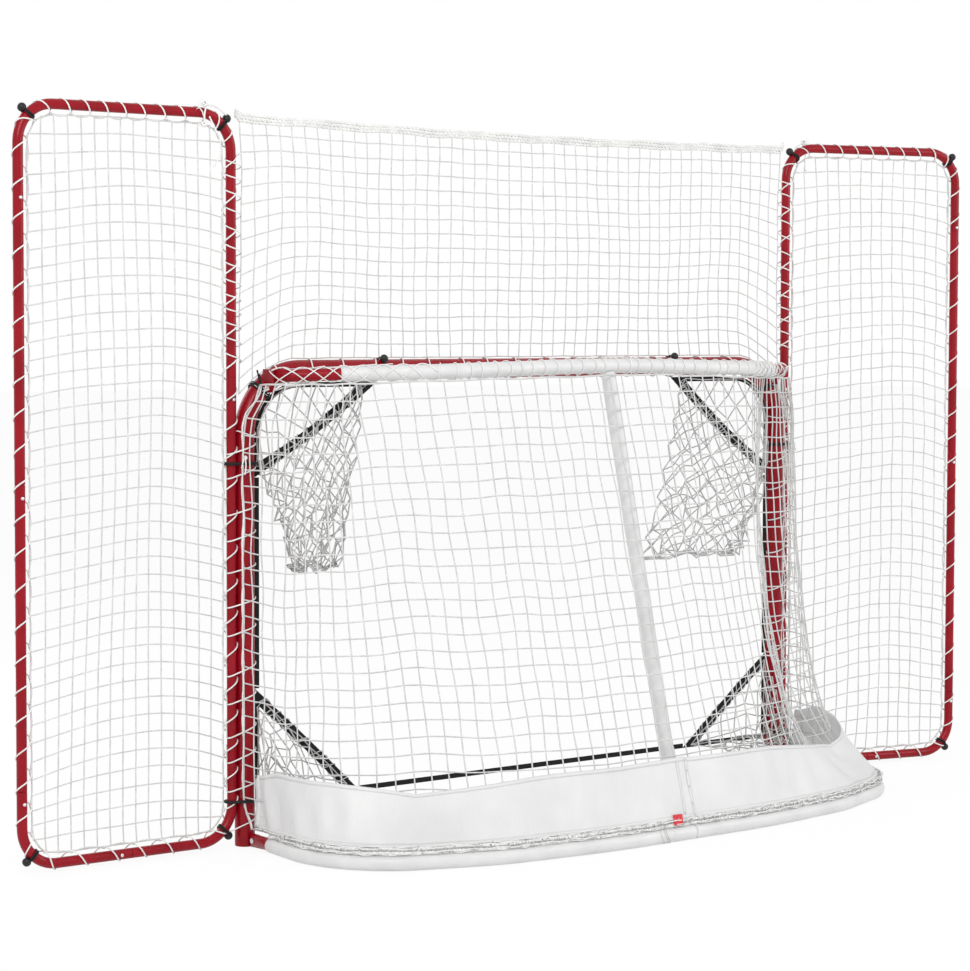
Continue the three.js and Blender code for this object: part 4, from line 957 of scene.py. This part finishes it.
u = np.linspace(0, 1, columns)[None, :]
inner = near_edge(rows, 8)[:, None] * near_edge(columns, 14)
goal_grid += wander((rows, columns), 3.5, 8.0) * inner[..., None] * v(1, 0.7, 1)
goal_grid += wander((rows, columns), 0.9, 2.4)
goal_grid[..., 2] -= 6 * np.abs(np.sin(np.pi * u * 9)) * np.sin(np.pi * w)
goal_net = net_shape(goal_grid, 1.85, 2.8)
for edge in (goal_grid[-1], goal_grid[0], goal_grid[:, 0], goal_grid[:, -1]):
    goal_net.cord(edge, 2.4)
goal_net.piece("goal_mesh", "twine", nodes=["side_net_left", "side_net_right", "back_net"])

# Top net, from the crossbar to the shelf rail.
TOP_COLUMNS, TOP_ROWS = 44, 6
arm_lean = (SHELF_TAB_X - SHELF_CORNER_X) / (SHELF_REAR - SHELF_TURN_Y)


def top_place(b, a):
    y = mixed(POST_R + 9, SHELF_REAR - SLEEVE_R - 3, b)
    half = min(SHELF_CORNER_X + arm_lean * (SHELF_REAR - y), SHELF_TAB_X)
    half -= (RAIL_R + 6) * math.hypot(1, arm_lean)
    z = mixed(BAR_Z + 4, SHELF_CORNER_Z, b) + 11 * b * (1 - abs(2 * a - 1)) - 7 * math.sin(math.pi * b)
    return mixed(-half, half, a), y, z


top_grid = grid_of(TOP_ROWS, TOP_COLUMNS, top_place)
top_grid += wander(top_grid.shape[:2], 1.5, 3.0)
net_shape(top_grid).piece("top_mesh", "twine", nodes=["top_net"])

# ---- Backstop net -------------------------------------------------------------------------------

BACKSTOP_COLUMNS, BACKSTOP_ROWS = 48, 16
span = WING_X - WING_R - 13


def backstop_place(b, a):
    x = mixed(-span, span, a)
    past = max(0.0, abs(x) - (POST_X - POST_BEND))
    foot = BAR_Z + POST_R + 5 - past * past / (2.2 * POST_BEND)
    swell = math.sin(math.pi * a)
    z = mixed(foot, WING_TOP - 8 - 10 * swell, b) - 9 * swell * math.sin(math.pi * b)
    z -= 22 * math.exp(-(((abs(x) - 880) / 100) ** 2)) * (1 - b) ** 1.3 * min(1, b * 9)
    return x, 10 * math.sin(math.pi * b) * swell, z


backstop = grid_of(BACKSTOP_ROWS, BACKSTOP_COLUMNS, backstop_place)
backstop += wander(backstop.shape[:2], 3.0, 8.0) * near_edge(BACKSTOP_ROWS + 1, 6)[:, None, None]
backstop += wander(backstop.shape[:2], 0.9, 2.2)
net_shape(backstop, 1.6, 2.4).piece("backstop_mesh", "twine", nodes=["backstop_net"])

ROPE_STRANDS, ROPE_PITCH = 4, 52
BAND_ROPES = ((0, 5.0), (7, 4.4), (-7, 4.4))


def add_rope(shape, points, radius, turn):
    """Strands twisted round a line, as a laid rope."""
    tangent = unit(np.gradient(points, axis=0))
    n = unit(np.cross(tangent, v(0, 1, 0.01)))
    b = np.cross(tangent, n)
    for k in range(ROPE_STRANDS):
        phase = (turn + 2 * np.pi * (lengths_along(points) / ROPE_PITCH + k / ROPE_STRANDS))[:, None]
        shape.cord(points + radius * 0.55 * (np.cos(phase) * n + np.sin(phase) * b), radius * 0.52)


band = Shape()
end = v(span + 12, 0, WING_TOP + 4)
key = np.concatenate([[end * v(-1, 1, 1)], backstop[-1], [end]])
dense = np.concatenate([fine_line(a, b, 5)[:-1] for a, b in zip(key, key[1:])] + [key[-1:]])
for offset, radius in BAND_ROPES:
    sway = np.sin(np.arange(len(dense)) / 9.0 + offset)[:, None] * v(0, 1.0, 1.4)
    add_rope(band, dense + v(0, 0.5 * offset / 7, offset) + sway, radius, offset)
band.piece("backstop_rope", "lace", nodes=["backstop_band"])

# The band's ends are knotted round the wings' top bows and turn with them. Each has its loose strands
# and the middles of its knots, by x and z.
BAND_ENDS = {
    "left": (
        (
            ((1000, 12, 1818), (1030, 17, 1836), (1064, 18, 1840), (1068, 19, 1812), (1071, 18, 1792)),
            (
                (1052, 16, 1812), (1041, 18, 1791), (1024, 18, 1762),
                (1019, 18, 1730), (1026, 18, 1708), (1042, 18, 1690),
            ),
        ),
        ((1066, 1842), (1070, 1793)),
    ),
    "right": (
        (
            (
                (-1000, 14, 1822), (-1020, 18, 1834), (-1034, 19, 1836),
                (-1040, 19, 1797), (-1038, 18, 1772), (-1045, 18, 1748),
            ),
        ),
        ((-1032, 1838),),
    ),
}
for name, sign in SIDES:
    strands, centres = BAND_ENDS[name]
    band_end = Shape()
    for strand in strands:
        along = np.linspace(0, len(strand) - 1, 6 * len(strand))
        line = points_at(along, np.arange(len(strand)), np.array(strand, float))
        band_end.cord(line + np.sin(along * 5.0)[:, None] * v(1.2, 0.8, 0.6), 2.2)
    for x, z in centres:
        knot = v(x, 18, z)
        for k in range(3):
            axis = unit(v(math.cos(k), 0.4, math.sin(k)))
            band_end.cord(loop_points(knot, axis, 6.5, 14, 2.0), 2.1, closed=True)
        for k in range(5):
            tip = v(x + sign * (14 + 3 * k), 20, z + 14 - 7 * k)
            band_end.cord(fine_line(knot, tip, 6), 0.9, 5)
    band_end.piece(f"{name}_band_end", "lace", f"wing_{name}")

# ---- Skirt --------------------------------------------------------------------------------------

SKIRT_HEIGHT = 165.0
SKIRT_START, SKIRT_END = 34.0, BASE_MIDDLE - 1.5
SKIRT_COLUMNS, SKIRT_ROWS = 150, 14
SKIRT_ROW = 4
SKIRT_DRAW = {"left": 3.4, "right": 1.7}
SKIRT_FOOT = 0.06
# Each fold's length, phase, height and slant are drawn between these.
FOLDS, FOLD_RANGES = 9, ((60, 190), (0, 6.28), (0.4, 1.0), (-1.5, 1.5))


def skirt_line(s, name):
    """The skirt's foot and the way it leans, at a length along one half of the base rail."""
    foot = base_edge(s)
    sag = crease_sag(SKIRT_ROW / GOAL_ROWS, name)
    if s < BASE_TURN:
        share = (s - NET_START) / (BASE_TURN - NET_START)
        column, sag = share * SIDE_COLUMNS, sag * share ** SKIRT_DRAW[name]
    else:
        share = (s - BASE_TURN) / (base_path.length - 2 * BASE_TURN)
        column, sag = SIDE_COLUMNS + share * BACK_COLUMNS, sag * (1 - 2 * share) ** 2
    low = int(column)
    upper = mixed(straight_net[SKIRT_ROW, low], straight_net[SKIRT_ROW, low + 1], column - low)
    front = 1 - smooth(s, SKIRT_START, 200)
    return foot, unit(upper + sag - foot) * (SKIRT_HEIGHT - 22 * front) + v(-6, 26, 0) * front


def skirt_sheet(name, sign):
    """One half of the skirt, with seeded folds and a hollow at the crease."""
    noise = np.random.default_rng(21 + sign)
    waves = [[noise.uniform(*ends) for ends in FOLD_RANGES] for _ in range(FOLDS)]
    grid = np.zeros((SKIRT_ROWS + 1, SKIRT_COLUMNS + 1, 3))
    for i in range(SKIRT_COLUMNS + 1):
        s = mixed(SKIRT_START, SKIRT_END, i / SKIRT_COLUMNS)
        foot, lean = skirt_line(s, name)
        _, _, outward = base_path.level_out(s)
        hollow = math.exp(-(((s - BASE_TURN) / 170) ** 2))
        for j in range(SKIRT_ROWS + 1):
            t = mixed(SKIRT_FOOT, 1, j / SKIRT_ROWS)
            fold = 0
            for length, phase, height, slant in waves:
                fold += height * math.sin(2 * math.pi * s / length + phase + slant * 3 * t)
            hang = math.sin(math.pi * min(t * 1.15, 1)) * 0.7 + 0.3 * t
            inward = t + 0.55 * hollow * t * (1 - t)
            grid[j, i] = foot + lean * v(inward, inward, t) + outward * (10 + 2.0 * hang + 2.2 * fold * hang)
            grid[j, i, 2] += 1.6 * math.sin(s / 70 + sign) * t
    return grid * v(sign, 1, 1)


def outward_of(grid):
    """Unit normals of a grid on the side away from the goal's middle."""
    normal = normals(grid)
    middle = grid.reshape(-1, 3).mean(0) * v(1, 1, 0)
    return normal if normal.reshape(-1, 3).mean(0).dot(unit(middle)) > 0 else -normal


skirts = {}
for name, sign in SIDES:
    skirts[name] = grid = skirt_sheet(name, sign)
    made = recalculated(sheet_shape(grid, 1.2).piece(f"{name}_skirt_cloth", "cloth", nodes=[f"skirt_{name}"]))
    # Hems: a doubled strip along the top and the foot, and one up the free end.
    for edge, strip in (("top", grid[-2:]), ("foot", grid[:2]), ("end", grid[:, :3])):
        hem = sheet_shape(strip + outward_of(strip) * 1.1, 0.8)
        recalculated(hem.piece(f"{name}_skirt_hem_{edge}", "cloth"))

# A doubled seam up the skirt beside the middle, and the red tab sewn under it.
SEAM_COLUMN, TAB_WIDTH, TAB_DROP, TAB_CELLS = 146, 32, 26, 5
seam = skirts["left"][1:-1, SEAM_COLUMN : SEAM_COLUMN + 2]
recalculated(sheet_shape(seam + outward_of(seam) * 1.2, 1.0).piece("skirt_seam", "cloth"))
tab_top = skirts["left"][1, SEAM_COLUMN - 3]


def tab_place(drop, a):
    return tab_top + v(TAB_WIDTH * (a - 0.5), 3 + 5 * drop, 4 - TAB_DROP * drop)


tab = grid_of(TAB_CELLS, TAB_CELLS, tab_place)
tab_piece = recalculated(sheet_shape(tab, 1.0).piece("red_tab", "tab"))

# ---- Targets ------------------------------------------------------------------------------------

STRAP_GAP, STRAP_THICK = 5.6, 2.6
STRAP_X = MOUTH_WIDTH / 2 - STRAP_GAP
STRAP_TOP, STRAP_LOW = MOUTH_HEIGHT - STRAP_GAP, 100.5
WEBBING_EDGE, WEBBING_WIDTH = 13.0, 25.4
UPPER_BEND = POST_BEND - POST_R - STRAP_GAP
LOWER_REACH = 330
TARGETS = {
    "upper_left": dict(upper=True, sign=1, reach=388, rise=236, foot=(768, 690, 75)),
    "upper_right": dict(upper=True, sign=-1, reach=388, rise=288, foot=(520, 660, 168)),
    "lower_left": dict(upper=False, sign=1, reach=LOWER_REACH, rise=292, foot=(845, 60, 55)),
    "lower_right": dict(upper=False, sign=-1, reach=LOWER_REACH, rise=250, foot=(845, 60, 55)),
}


def to_goal(t, a, b):
    """From a target's own corner, a along the bar and b along the post, to the goal."""
    return v(t["sign"] * (STRAP_X - a), 0, STRAP_TOP - b if t["upper"] else STRAP_LOW + b)


def outline(t, edge, width, steps=10, slope=16):
    """A target's outline: its rounded corner, the end of each leg, and points along its slope."""
    reach, rise = t["reach"], t["rise"]
    long = math.hypot(reach, rise)
    left = 1 - width * long / (reach * rise)
    a, b = reach * (left - edge / rise), rise * (left - edge / reach)
    bend = UPPER_BEND - edge if t["upper"] else 2.0
    centre = edge + bend
    turn = np.linspace(0, np.pi / 2, steps + 1)
    points = [(centre - bend * math.sin(q), centre - bend * math.cos(q)) for q in turn]
    points += [(edge, mixed(centre, b, k / 6)) for k in range(1, 6)]
    for k in range(slope + 1):
        f = k / slope
        sag = (9 if t["upper"] else 3) * math.sin(math.pi * f)
        points.append((mixed(edge, a, f) + sag * rise / long, mixed(b, edge, f) + sag * reach / long))
    return points + [(mixed(a, centre, k / 6), edge) for k in range(1, 6)]


def strap_shape(outer, inner):
    """A closed flat band between two outlines in the plane of the mouth."""
    half = v(0, STRAP_THICK / 2, 0)
    loops = np.concatenate([outer + half, inner + half, inner - half, outer - half])
    return Shape().add(loops, tube_faces(4, len(outer), closed=True))


def pocket_net(t, seed):
    """The net bag behind a target, as rings of knots from its mouth to its gathered foot."""
    noise = np.random.default_rng(seed)
    mouth = np.array(outline(t, WEBBING_EDGE / 2, WEBBING_WIDTH / 2, 6, 12))
    closed = np.concatenate([mouth, mouth[:1]])
    lengths = lengths_along(closed)
    columns, rows = (30, 15) if t["upper"] else (24, 9)
    a, b = points_at(np.linspace(0, lengths[-1], columns, endpoint=False), lengths, closed).T
    near, far = mouth[:, 0].min(), mouth[:, 0].max()
    foot_x, foot_z, foot_half = t["foot"]
    depth, thickness, lift = (60, 70, 0.0) if t["upper"] else (110, 0, 0.35)
    behind = np.maximum(0.0, 1 - a / t["reach"] - b / t["rise"])
    end_x = t["sign"] * (foot_x - foot_half * (2 * (a - near) / (far - near) - 1))
    start = np.array([to_goal(t, *ab) for ab in zip(a, b)])
    share = np.arange(rows + 1)[:, None] / rows
    w = share**0.9
    y = 3 + thickness * behind * np.sin(np.pi * w) + (depth + thickness * behind) * w
    grid = np.stack([mixed(start[:, 0], end_x, w), y, mixed(start[:, 2], foot_z + lift * b, w)], -1)
    grid += noise.normal(size=grid.shape) * (2 + 9 * share[..., None]) * v(1, 0.7, 1)
    return np.maximum(grid, v(-1e9, 3, foot_z - 4))


def diamond_shape(grid, radius, knot):
    """Twine that runs both ways across a closed set of rings, as a net hung by one corner."""
    rows, columns = grid.shape[:2]
    ends = []
    for way, span_rows in ((1, range(rows - 1)), (-1, range(1, rows - 1))):
        for j, k, side in product(span_rows, range(columns), (-1, 1)):
            if (j + k) % 2 == 0:
                ends.append((grid[j, k], grid[j + way, (k + side) % columns]))
    starts, stops = np.moveaxis(np.array(ends), 1, 0)
    used = [grid[j, k] for j, k in product(range(rows), range(columns)) if (j + k) % 2 == 0]
    return Shape().add(*bars(starts, stops, radius)).add(*knots(np.array(used), knot))


def strap_lacing(line, pitch, seed):
    """A cord wound round a strap, out from its plane on both faces."""
    noise = np.random.default_rng(seed)
    lengths = lengths_along(line)
    total = lengths[-1]
    count = max(2, round(total / pitch))
    jitter = noise.uniform(-0.25, 0.25, count + 1)
    i = np.arange(count * 12 + 1)
    s = total * i / (count * 12)
    phase = (2 * np.pi * i / 12 + jitter[i // 12])[:, None]
    ahead = points_at(np.minimum(s + 1, total), lengths, line)
    behind = points_at(np.maximum(s - 1, 0), lengths, line)
    side = np.cross(unit(ahead - behind), v(0, 1, 0)) * (WEBBING_WIDTH / 2 + 3)
    return points_at(s, lengths, line) + side * np.cos(phase) + v(0, 4.2, 0) * np.sin(phase)


for index, (name, t) in enumerate(TARGETS.items()):
    outer = np.array([to_goal(t, a, b) for a, b in outline(t, 0, 0)])
    inner = np.array([to_goal(t, a, b) for a, b in outline(t, WEBBING_EDGE, WEBBING_WIDTH)])
    sharp(strap_shape(outer, inner).piece(f"{name}_webbing", "webbing", nodes=[f"target_{name}"]))
    grid = pocket_net(t, 40 + index)
    bag = diamond_shape(grid, 1.8, 3.0)
    bag.cord(grid[-1], 2.0, closed=True)
    bag.cord(grid[-1] * v(1, 0.9, 1) + v(0, 4, 4), 1.8, closed=True)
    bag.cord(grid[0], 1.8, closed=True)
    bag.piece(f"{name}_pocket_mesh", "grey", nodes=[f"pocket_{name}"])
    line = ((outer + inner) / 2)[16:33]
    first, second = (33, 39) if t["upper"] else (60, 75)
    lacing = Shape().cord(strap_lacing(line, first, 60 + index), 1.4)
    lacing.cord(strap_lacing(line, second, 80 + index), 1.3)
    lacing.piece(f"{name}_webbing_lacing", "grey")


def add_belt(name, a, b, solid):
    """A straight strip of webbing between two points, flat in the plane of the mouth."""
    points = fine_line(a, b, 40)
    side = np.cross(unit(b - a), v(0, 1, 0)) * WEBBING_EDGE / 2
    strip = sheet_shape(np.stack([points - side, points + side]), STRAP_THICK)
    sharp(strip.piece(name, "webbing", nodes=[solid]))


BELT_GAP = 0.4
for name, sign in SIDES:
    x = sign * (STRAP_X - WEBBING_EDGE / 2)
    low = v(x, 0, STRAP_LOW + TARGETS[f"lower_{name}"]["rise"] + BELT_GAP)
    high = v(x, 0, STRAP_TOP - TARGETS[f"upper_{name}"]["rise"] - BELT_GAP)
    add_belt(f"{name}_side_webbing", low, high, f"side_strap_{name}")
end = v(STRAP_X - LOWER_REACH - BELT_GAP, 0, STRAP_LOW + WEBBING_EDGE / 2)
add_belt("bottom_webbing", end * v(-1, 1, 1), end, "bottom_strap")

# ---- Ties ---------------------------------------------------------------------------------------

TIE_CORD, TIE_BALL = 2.2, 11.0


def add_tie(name, place, tangent, towards, r, body, solid, wing=None):
    """Two turns of elastic round a tube, drawn to a moulded ball."""
    towards = unit(towards - tangent * towards.dot(tangent))
    turns, bead = Shape(), Shape()
    for shift in (-2.9, 2.9):
        ring = loop_points(place + tangent * shift, tangent, r + TIE_CORD + 0.5, 26, 2.0)
        pull = (np.clip((ring - place) @ towards / (r + TIE_CORD), 0, 1) ** 3)[:, None]
        turns.cord(ring + towards * 3.5 * pull - tangent * shift * 0.8 * pull, TIE_CORD, 8, closed=True)
    centre = place + towards * (r + 9.0)
    bead.cord(*ball(centre, TIE_BALL), 16)
    bead.cord([centre - towards * 11, centre - towards * 8], [4.4, 6.0], 12)
    if wing:
        for shape in (turns, bead):
            shape.points = [wing_place(wing, p) for p in shape.points]
    turns.piece(f"{name}_elastic", "elastic", body, [solid])
    recalculated(bead.piece(f"{name}_ball", "moulded", body))


for name, sign in SIDES:
    for bend, corner in zip(wing_path.bends, ("foot_outer", "top_outer", "top_inner", "foot_inner")):
        p, t = wing_path.station(sum(bend) / 2)
        solid = f"ball_tie_{name}_{corner}"
        add_tie(f"{name}_tie_{corner}", p, t, p - WING_CENTRE, WING_R, f"wing_{name}", solid, name)
    p, t = frame_path.station(L / 2 - sign * 516)
    add_tie(f"bar_tie_{name}", p, t, v(0, 0.6, 0.8), POST_R, "goal", f"ball_tie_crossbar_{name}")


def belt_points(sign, z, extra, lean=0.0, steps=9):
    """A line round the post and the wing's upright, rising by lean from one to the other."""
    a, b = (POST_X, POST_R + extra), (WING_X, WING_R + extra)
    gap = b[0] - a[0]
    turn = math.acos((a[1] - b[1]) / gap)
    points = []
    for (x, r), start, end, count in ((a, turn, 2 * np.pi - turn, steps), (b, -turn, turn, steps - 2)):
        for q in np.linspace(start, end, count):
            points.append((sign * (x + r * math.cos(q)), r * math.sin(q), z))
    points = np.array(points)
    points[:, 2] += lean * (np.abs(points[:, 0]) - POST_X) / gap * np.sign(points[:, 1] + 1e-6)
    return points


for name, sign in SIDES:
    for level, z in POST_TIES:
        tie = Shape().cord(belt_points(sign, z, 4.6, 0, 17), 3.9, 8, closed=True)
        tie.piece(f"{name}_post_tie_{level}", "elastic", nodes=[f"post_tie_{name}_{level}"])

# ---- Lacing of the goal net ---------------------------------------------------------------------


def loose_end(start, direction, length, seed):
    """The free end of a knotted cord, a few centimetres long, falling as it goes."""
    noise = np.random.default_rng(seed)
    points = [start]
    d = unit(direction)
    for _ in range(9):
        d = unit(d + noise.normal(size=3) * 0.22 - v(0, 0, 0.18))
        points.append(points[-1] + d * length / 9)
    return points


BORDER_STEPS = 96
for name, sign in SIDES:
    cord = Shape()
    noise = np.random.default_rng(90 + sign)
    for z in np.arange(70, 1010, 78.0 if sign > 0 else 95.0):
        z = z + noise.uniform(-14, 14)
        if min(abs(z - level) for _, level in POST_TIES) < 14:
            z += 24
        lean = -sign * noise.uniform(10, 17)
        cord.cord(belt_points(sign, z, 2.4, lean, 13), 1.9, closed=True)
    # The net's front border cord winds along the post.
    for k, (out, back, radius) in enumerate(((0, 0, 2.2), (1.6, 3.0, 1.6))):
        border = []
        for i in range(BORDER_STEPS + 1):
            p = front_edge(i / BORDER_STEPS)
            sway = 3.0 * math.sin(p[2] / (23.0 + 5 * k) + k) + noise.uniform(-1.0, 1.0)
            border.append((p + v(out + sway, back + 0.4 * sway, 0)) * v(sign, 1, 1))
        cord.cord(border, radius)
    # Over the bend and along the crossbar.
    for s in np.arange(1040, L / 2, 96.0):
        p, t = frame_path.station(s + noise.uniform(-16, 16))
        ring = loop_points(p, t, POST_R + 2.3, 22, noise.uniform(3, 9))
        cord.cord(ring * v(sign, 1, 1), 1.8, closed=True)
    cord.piece(f"{name}_post_lacing", "lace")

    at = v(sign * (POST_X + 16), POST_R + 3, 975)
    knot = Shape().cord(*ball(at, 5.5, 7), 10)
    knot.cord(loose_end(at, v(sign * 0.7, 0.4, 0.5), 46, 7), 1.9)
    knot.cord(loose_end(at, v(sign * 0.4, 0.5, 0.1), 52, 8), 1.9)
    knot.piece(f"{name}_post_knot", "lace")

# Diamonds over the bare shelf rail and loops along its sleeve.
DIAMOND_PITCH = 150.0


def shelf_ring(s, r, phase):
    """A point at a radius and a turn about the shelf rail."""
    p, t = shelf_path.station(s)
    n = v(0, 0, 1)
    return p + r * (math.cos(phase) * n + math.sin(phase) * np.cross(t, n))


shelf_lace = Shape()
noise = np.random.default_rng(31)
for sign, way, strand in product((1, -1), (1, -1), range(3)):
    points = []
    for s in np.arange(22 + 6 * strand, 400 + 40 * strand, 4.0):
        r = SLEEVE_R + 1.9 if s > 193 else RAIL_R + 2.4 + 2.2 * (1 - smooth(s, 60, 150))
        phase = way * 2 * np.pi * s / DIAMOND_PITCH + 2 * np.pi * strand / 3
        points.append(shelf_ring(s + 1.2 * math.sin(s / 19 + strand), r, phase) * v(sign, 1, 1))
    shelf_lace.cord(points, 1.5)
# Loops that hold the net's top edge to the sleeve.
for s in np.arange(440, shelf_path.length - 440, 41.0):
    s = s + noise.uniform(-6, 6)
    lean = noise.uniform(-5, 5)
    turns = np.linspace(0, 2 * np.pi, 24, endpoint=False)
    shelf_lace.cord([shelf_ring(s + lean * math.sin(q), SLEEVE_R + 1.9, q) for q in turns], 1.4, closed=True)
shelf_lace.piece("shelf_lacing", "lace")

# Strands bunched from each frame corner along the bare rail, and the black tie that holds the corner.
CORNER_TIE_AT = 1149.0
corner_tie, bunch = Shape(), Shape()
noise = np.random.default_rng(77)
for sign in (1, -1):
    place, tangent = frame_path.station(CORNER_TIE_AT)
    for shift in (-4.5, 0.5, 5.0):
        ring = loop_points(place + tangent * shift, tangent, POST_R + 2.6, 24, 3.0)
        corner_tie.cord(ring * v(sign, 1, 1), 2.3, 7, closed=True)
    tip = place + v(14, 30, 14)
    for k in range(2):
        end = tip + v(8 + 7 * k, 5, 30 + 10 * k)
        corner_tie.cord(fine_line(tip, end, 8) * v(sign, 1, 1), 2.2, 7)
    for k in range(9):
        start = place + v(noise.uniform(-8, 10), POST_R + noise.uniform(0, 8), noise.uniform(-6, 16))
        far = shelf_ring(noise.uniform(110, 330), SLEEVE_R + 3.0, noise.uniform(-2.2, 0.9))
        line = fine_line(start, far, 12)
        share = np.linspace(0, 1, len(line))[:, None]
        line += np.sin(np.pi * share) * noise.uniform(8, 20) * v(0.3, 0.6, 0.9)
        bunch.cord(line * v(sign, 1, 1), 1.5)
corner_tie.piece("corner_ties", "elastic")
bunch.piece("corner_bunch", "lace")

# A second cord laces the backstop to the wings' inner uprights.
BACKSTOP_TURNS, TURN_STEPS = 13, 14
for name, sign in SIDES:
    points = []
    for i in range(BACKSTOP_TURNS * TURN_STEPS + 1):
        phase = 2 * np.pi * i / TURN_STEPS
        z = mixed(1205, WING_TOP - 96, i / (BACKSTOP_TURNS * TURN_STEPS))
        x = WING_X - 6.5 - 21.5 * math.cos(phase)
        points.append((sign * x, sign * (WING_R + 2.4) * math.sin(phase), z + 9 * math.sin(z / 61)))
    Shape().cord(points, 1.8).piece(f"{name}_backstop_lacing", "lace")

# The net's foot is laced to the base sleeve below the skirt. The grey zigzag cord is painted shade: a darker
# cord laid in the lacing's gaps where shadow falls.
foot_lace, shade_zigzag = Shape(), Shape()
noise = np.random.default_rng(5)
for sign in (1, -1):
    for k, (height, out) in enumerate(((2.5, 9), (6.5, 12), (17, 12), (20, 9))):
        points = []
        for s in np.arange(100, BASE_MIDDLE - 2, 7.0):
            p, _, outward = base_path.level_out(s)
            sway = 1.6 * math.sin(s / (13 + 3 * k) + k) + noise.uniform(-1.0, 1.0)
            rise = SLEEVE_R + height + 1.8 * math.sin(s / (9 + 2 * k) + k) + noise.uniform(-1.0, 1.0)
            points.append((p + outward * (out + sway) + v(0, 0, rise)) * v(sign, 1, 1))
        foot_lace.cord(points, 1.5)
    for shape, pitch, start in ((foot_lace, 9.0, 104), (foot_lace, 13.0, 108), (shade_zigzag, 15.0, 101)):
        points = []
        for i, s in enumerate(np.arange(start, BASE_MIDDLE - 4, pitch)):
            p, t, outward = base_path.level_out(s)
            out, rise = (11.5, 20) if i % 2 else (9.5, 1.5)
            q = p + outward * out + v(0, 0, SLEEVE_R + rise)
            points.append((q + noise.normal(size=3) * 1.5 + t * noise.uniform(-4, 4)) * v(sign, 1, 1))
        shape.cord(points, 1.0)
foot_lace.piece("base_lacing", "lace")
# The grey zigzag stands in for the shadows between the white lacing: painted shade.
shade_zigzag.piece("base_painted_shade_zigzag", "grey")

# Cord wraps on the base sleeve beside its middle.
wraps = Shape()
for before, wobble in ((118, 9), (104, 9), (98, 9), (84, -8)):
    p, t = base_path.station(BASE_MIDDLE - before)
    ring = loop_points(p, t, SLEEVE_R + 1.1, 24, wobble)
    ring[:, 2] = np.maximum(ring[:, 2], 1.2)
    wraps.cord(ring, 1.2, closed=True)
wraps.piece("base_tie_wraps", "lace")

# The CAD's own bolts are shown, plated with zinc.
for node_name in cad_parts:
    if node_name.startswith("base_bolt"):
        bolt = bpy.data.objects.get(node_name)
        if bolt is not None:
            bolt.data.materials.clear()
            bolt.data.materials.append(zinc.material)

low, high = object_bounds()
list(low)
list(high)
